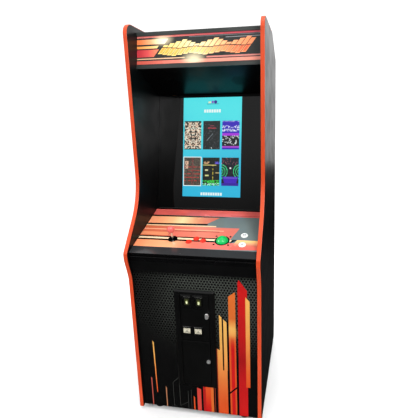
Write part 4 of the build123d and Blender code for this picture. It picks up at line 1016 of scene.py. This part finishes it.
circuit_board = Finish("circuit_board", roughness=0.32, coat_weight=0.3)
across, up = circuit_board.along((0, 1, 0)), circuit_board.along((0, 0, 1))
column, row, block = (across / 6.0).math("FLOOR"), (up / 2.5).math("FLOOR"), (up / 15.0).math("FLOOR")
level_tracks = up.wrap(2.5).below(1.0) * circuit_board.cells(column, row, 2.0).below(0.6)
upright_tracks = across.wrap(6.0).below(0.9) * circuit_board.cells(column, block, 4.0).below(0.5)
track = level_tracks.either(upright_tracks)
circuit_board.set(base_color=circuit_board.mix(track, (0.004, 0.055, 0.018), (0.012, 0.12, 0.04)))
circuit_board.bump(track, 0.00005)

green = Finish("green_ball", coat_weight=0.8, coat_roughness=0.05, subsurface_weight=0.2)
cloud = green.noise(0.02, 3, 0.5, seed=17.0)
green.set(base_color=green.mix(cloud.ramp(0.35, 0.7), (0.008, 0.33, 0.085), (0.02, 0.46, 0.13)))
green.set(roughness=cloud.ramp(0.3, 0.7, 0.10, 0.18))
# Painted glow: the emission makes the green ball shine, though no lamp in the cabinet lights it.
green.set(emission_color=(0.008, 0.50, 0.12), emission_strength=0.30)

wood = Finish("raw_wood", roughness=0.65)
ring = wood.noise(0.006, 3, 0.6, stretch=(1, 1, 0.06), seed=12.0)
wood.set(base_color=ring.colours((0.3, (0.30, 0.17, 0.08)), (0.55, (0.46, 0.30, 0.16)),
                                 (0.8, (0.54, 0.37, 0.20))))
wood.bump(ring, 0.0002)

dress(laminate, *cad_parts)
dress(moulding, "left_t_moulding", "right_t_moulding")
dress(painted, "back_panel", "rear_door", "rear_slope_panel", "roof_panel", "base_panel")
dress(kick_artwork(), "front_kick_panel")
dress(control_panel_artwork(), "control_panel")
dress(marquee_artwork(), "marquee_panel")
dress(screen_picture(), "monitor_screen")
dress(screen_glass(), "monitor_glass")
dress(wood, "mounting_battens")
dress(grey_trim, "marquee_retainers")
dress(powder, "coin_door_frame", "upper_coin_door", "lower_coin_door")
dress(bezel_print(), "coin_bezels")
for side in ("left", "right"):
    dress(reject_lens("coin_reject_button_" + side), "coin_reject_button_" + side)
    dress(return_plate("coin_return_flap_" + side), "coin_return_flap_" + side)
dress(chrome, "joystick_shaft")
dress(lock_metal, "upper_coin_lock", "lower_coin_lock", "rear_door_lock")
dress(black_plastic, "monitor_housing", "joystick_mount", "joystick_gimbal", "trackball_housing",
      "button_microswitches", "button_nuts", "coin_mechanisms", "power_inlet", "speakers")
dress(dark_bolts, "trackball_bolts", "cabinet_screws", "control_panel_hinge", "control_panel_hinge_leaf")
dress(rubber, "levelling_feet", "wiring_harness")
dress(steel, "cash_box", "power_supply", "trackball_forward_roller", "trackball_side_roller")
dress(lamp_white, "marquee_lamp")
dress(circuit_board, "game_board")

marks = {name: start_marks(name, count) for name, count in (("start_button_one", 1), ("start_button_two", 2))}
make_buttons(red_plastic, white_plastic, marks)
make_joystick(ball_red, gloss_black)
make_trackball(gloss_black, green)
make_glass_sill(grey_trim)
make_feet(rubber, steel)

for name in ("left_t_moulding", "right_t_moulding"):
    soften(name, 1.8, 4)
for name in ("control_panel", "coin_door_frame", "upper_coin_door", "lower_coin_door", "marquee_retainers"):
    soften(name, 0.5)
soften("coin_bezels", 0.2, 2)
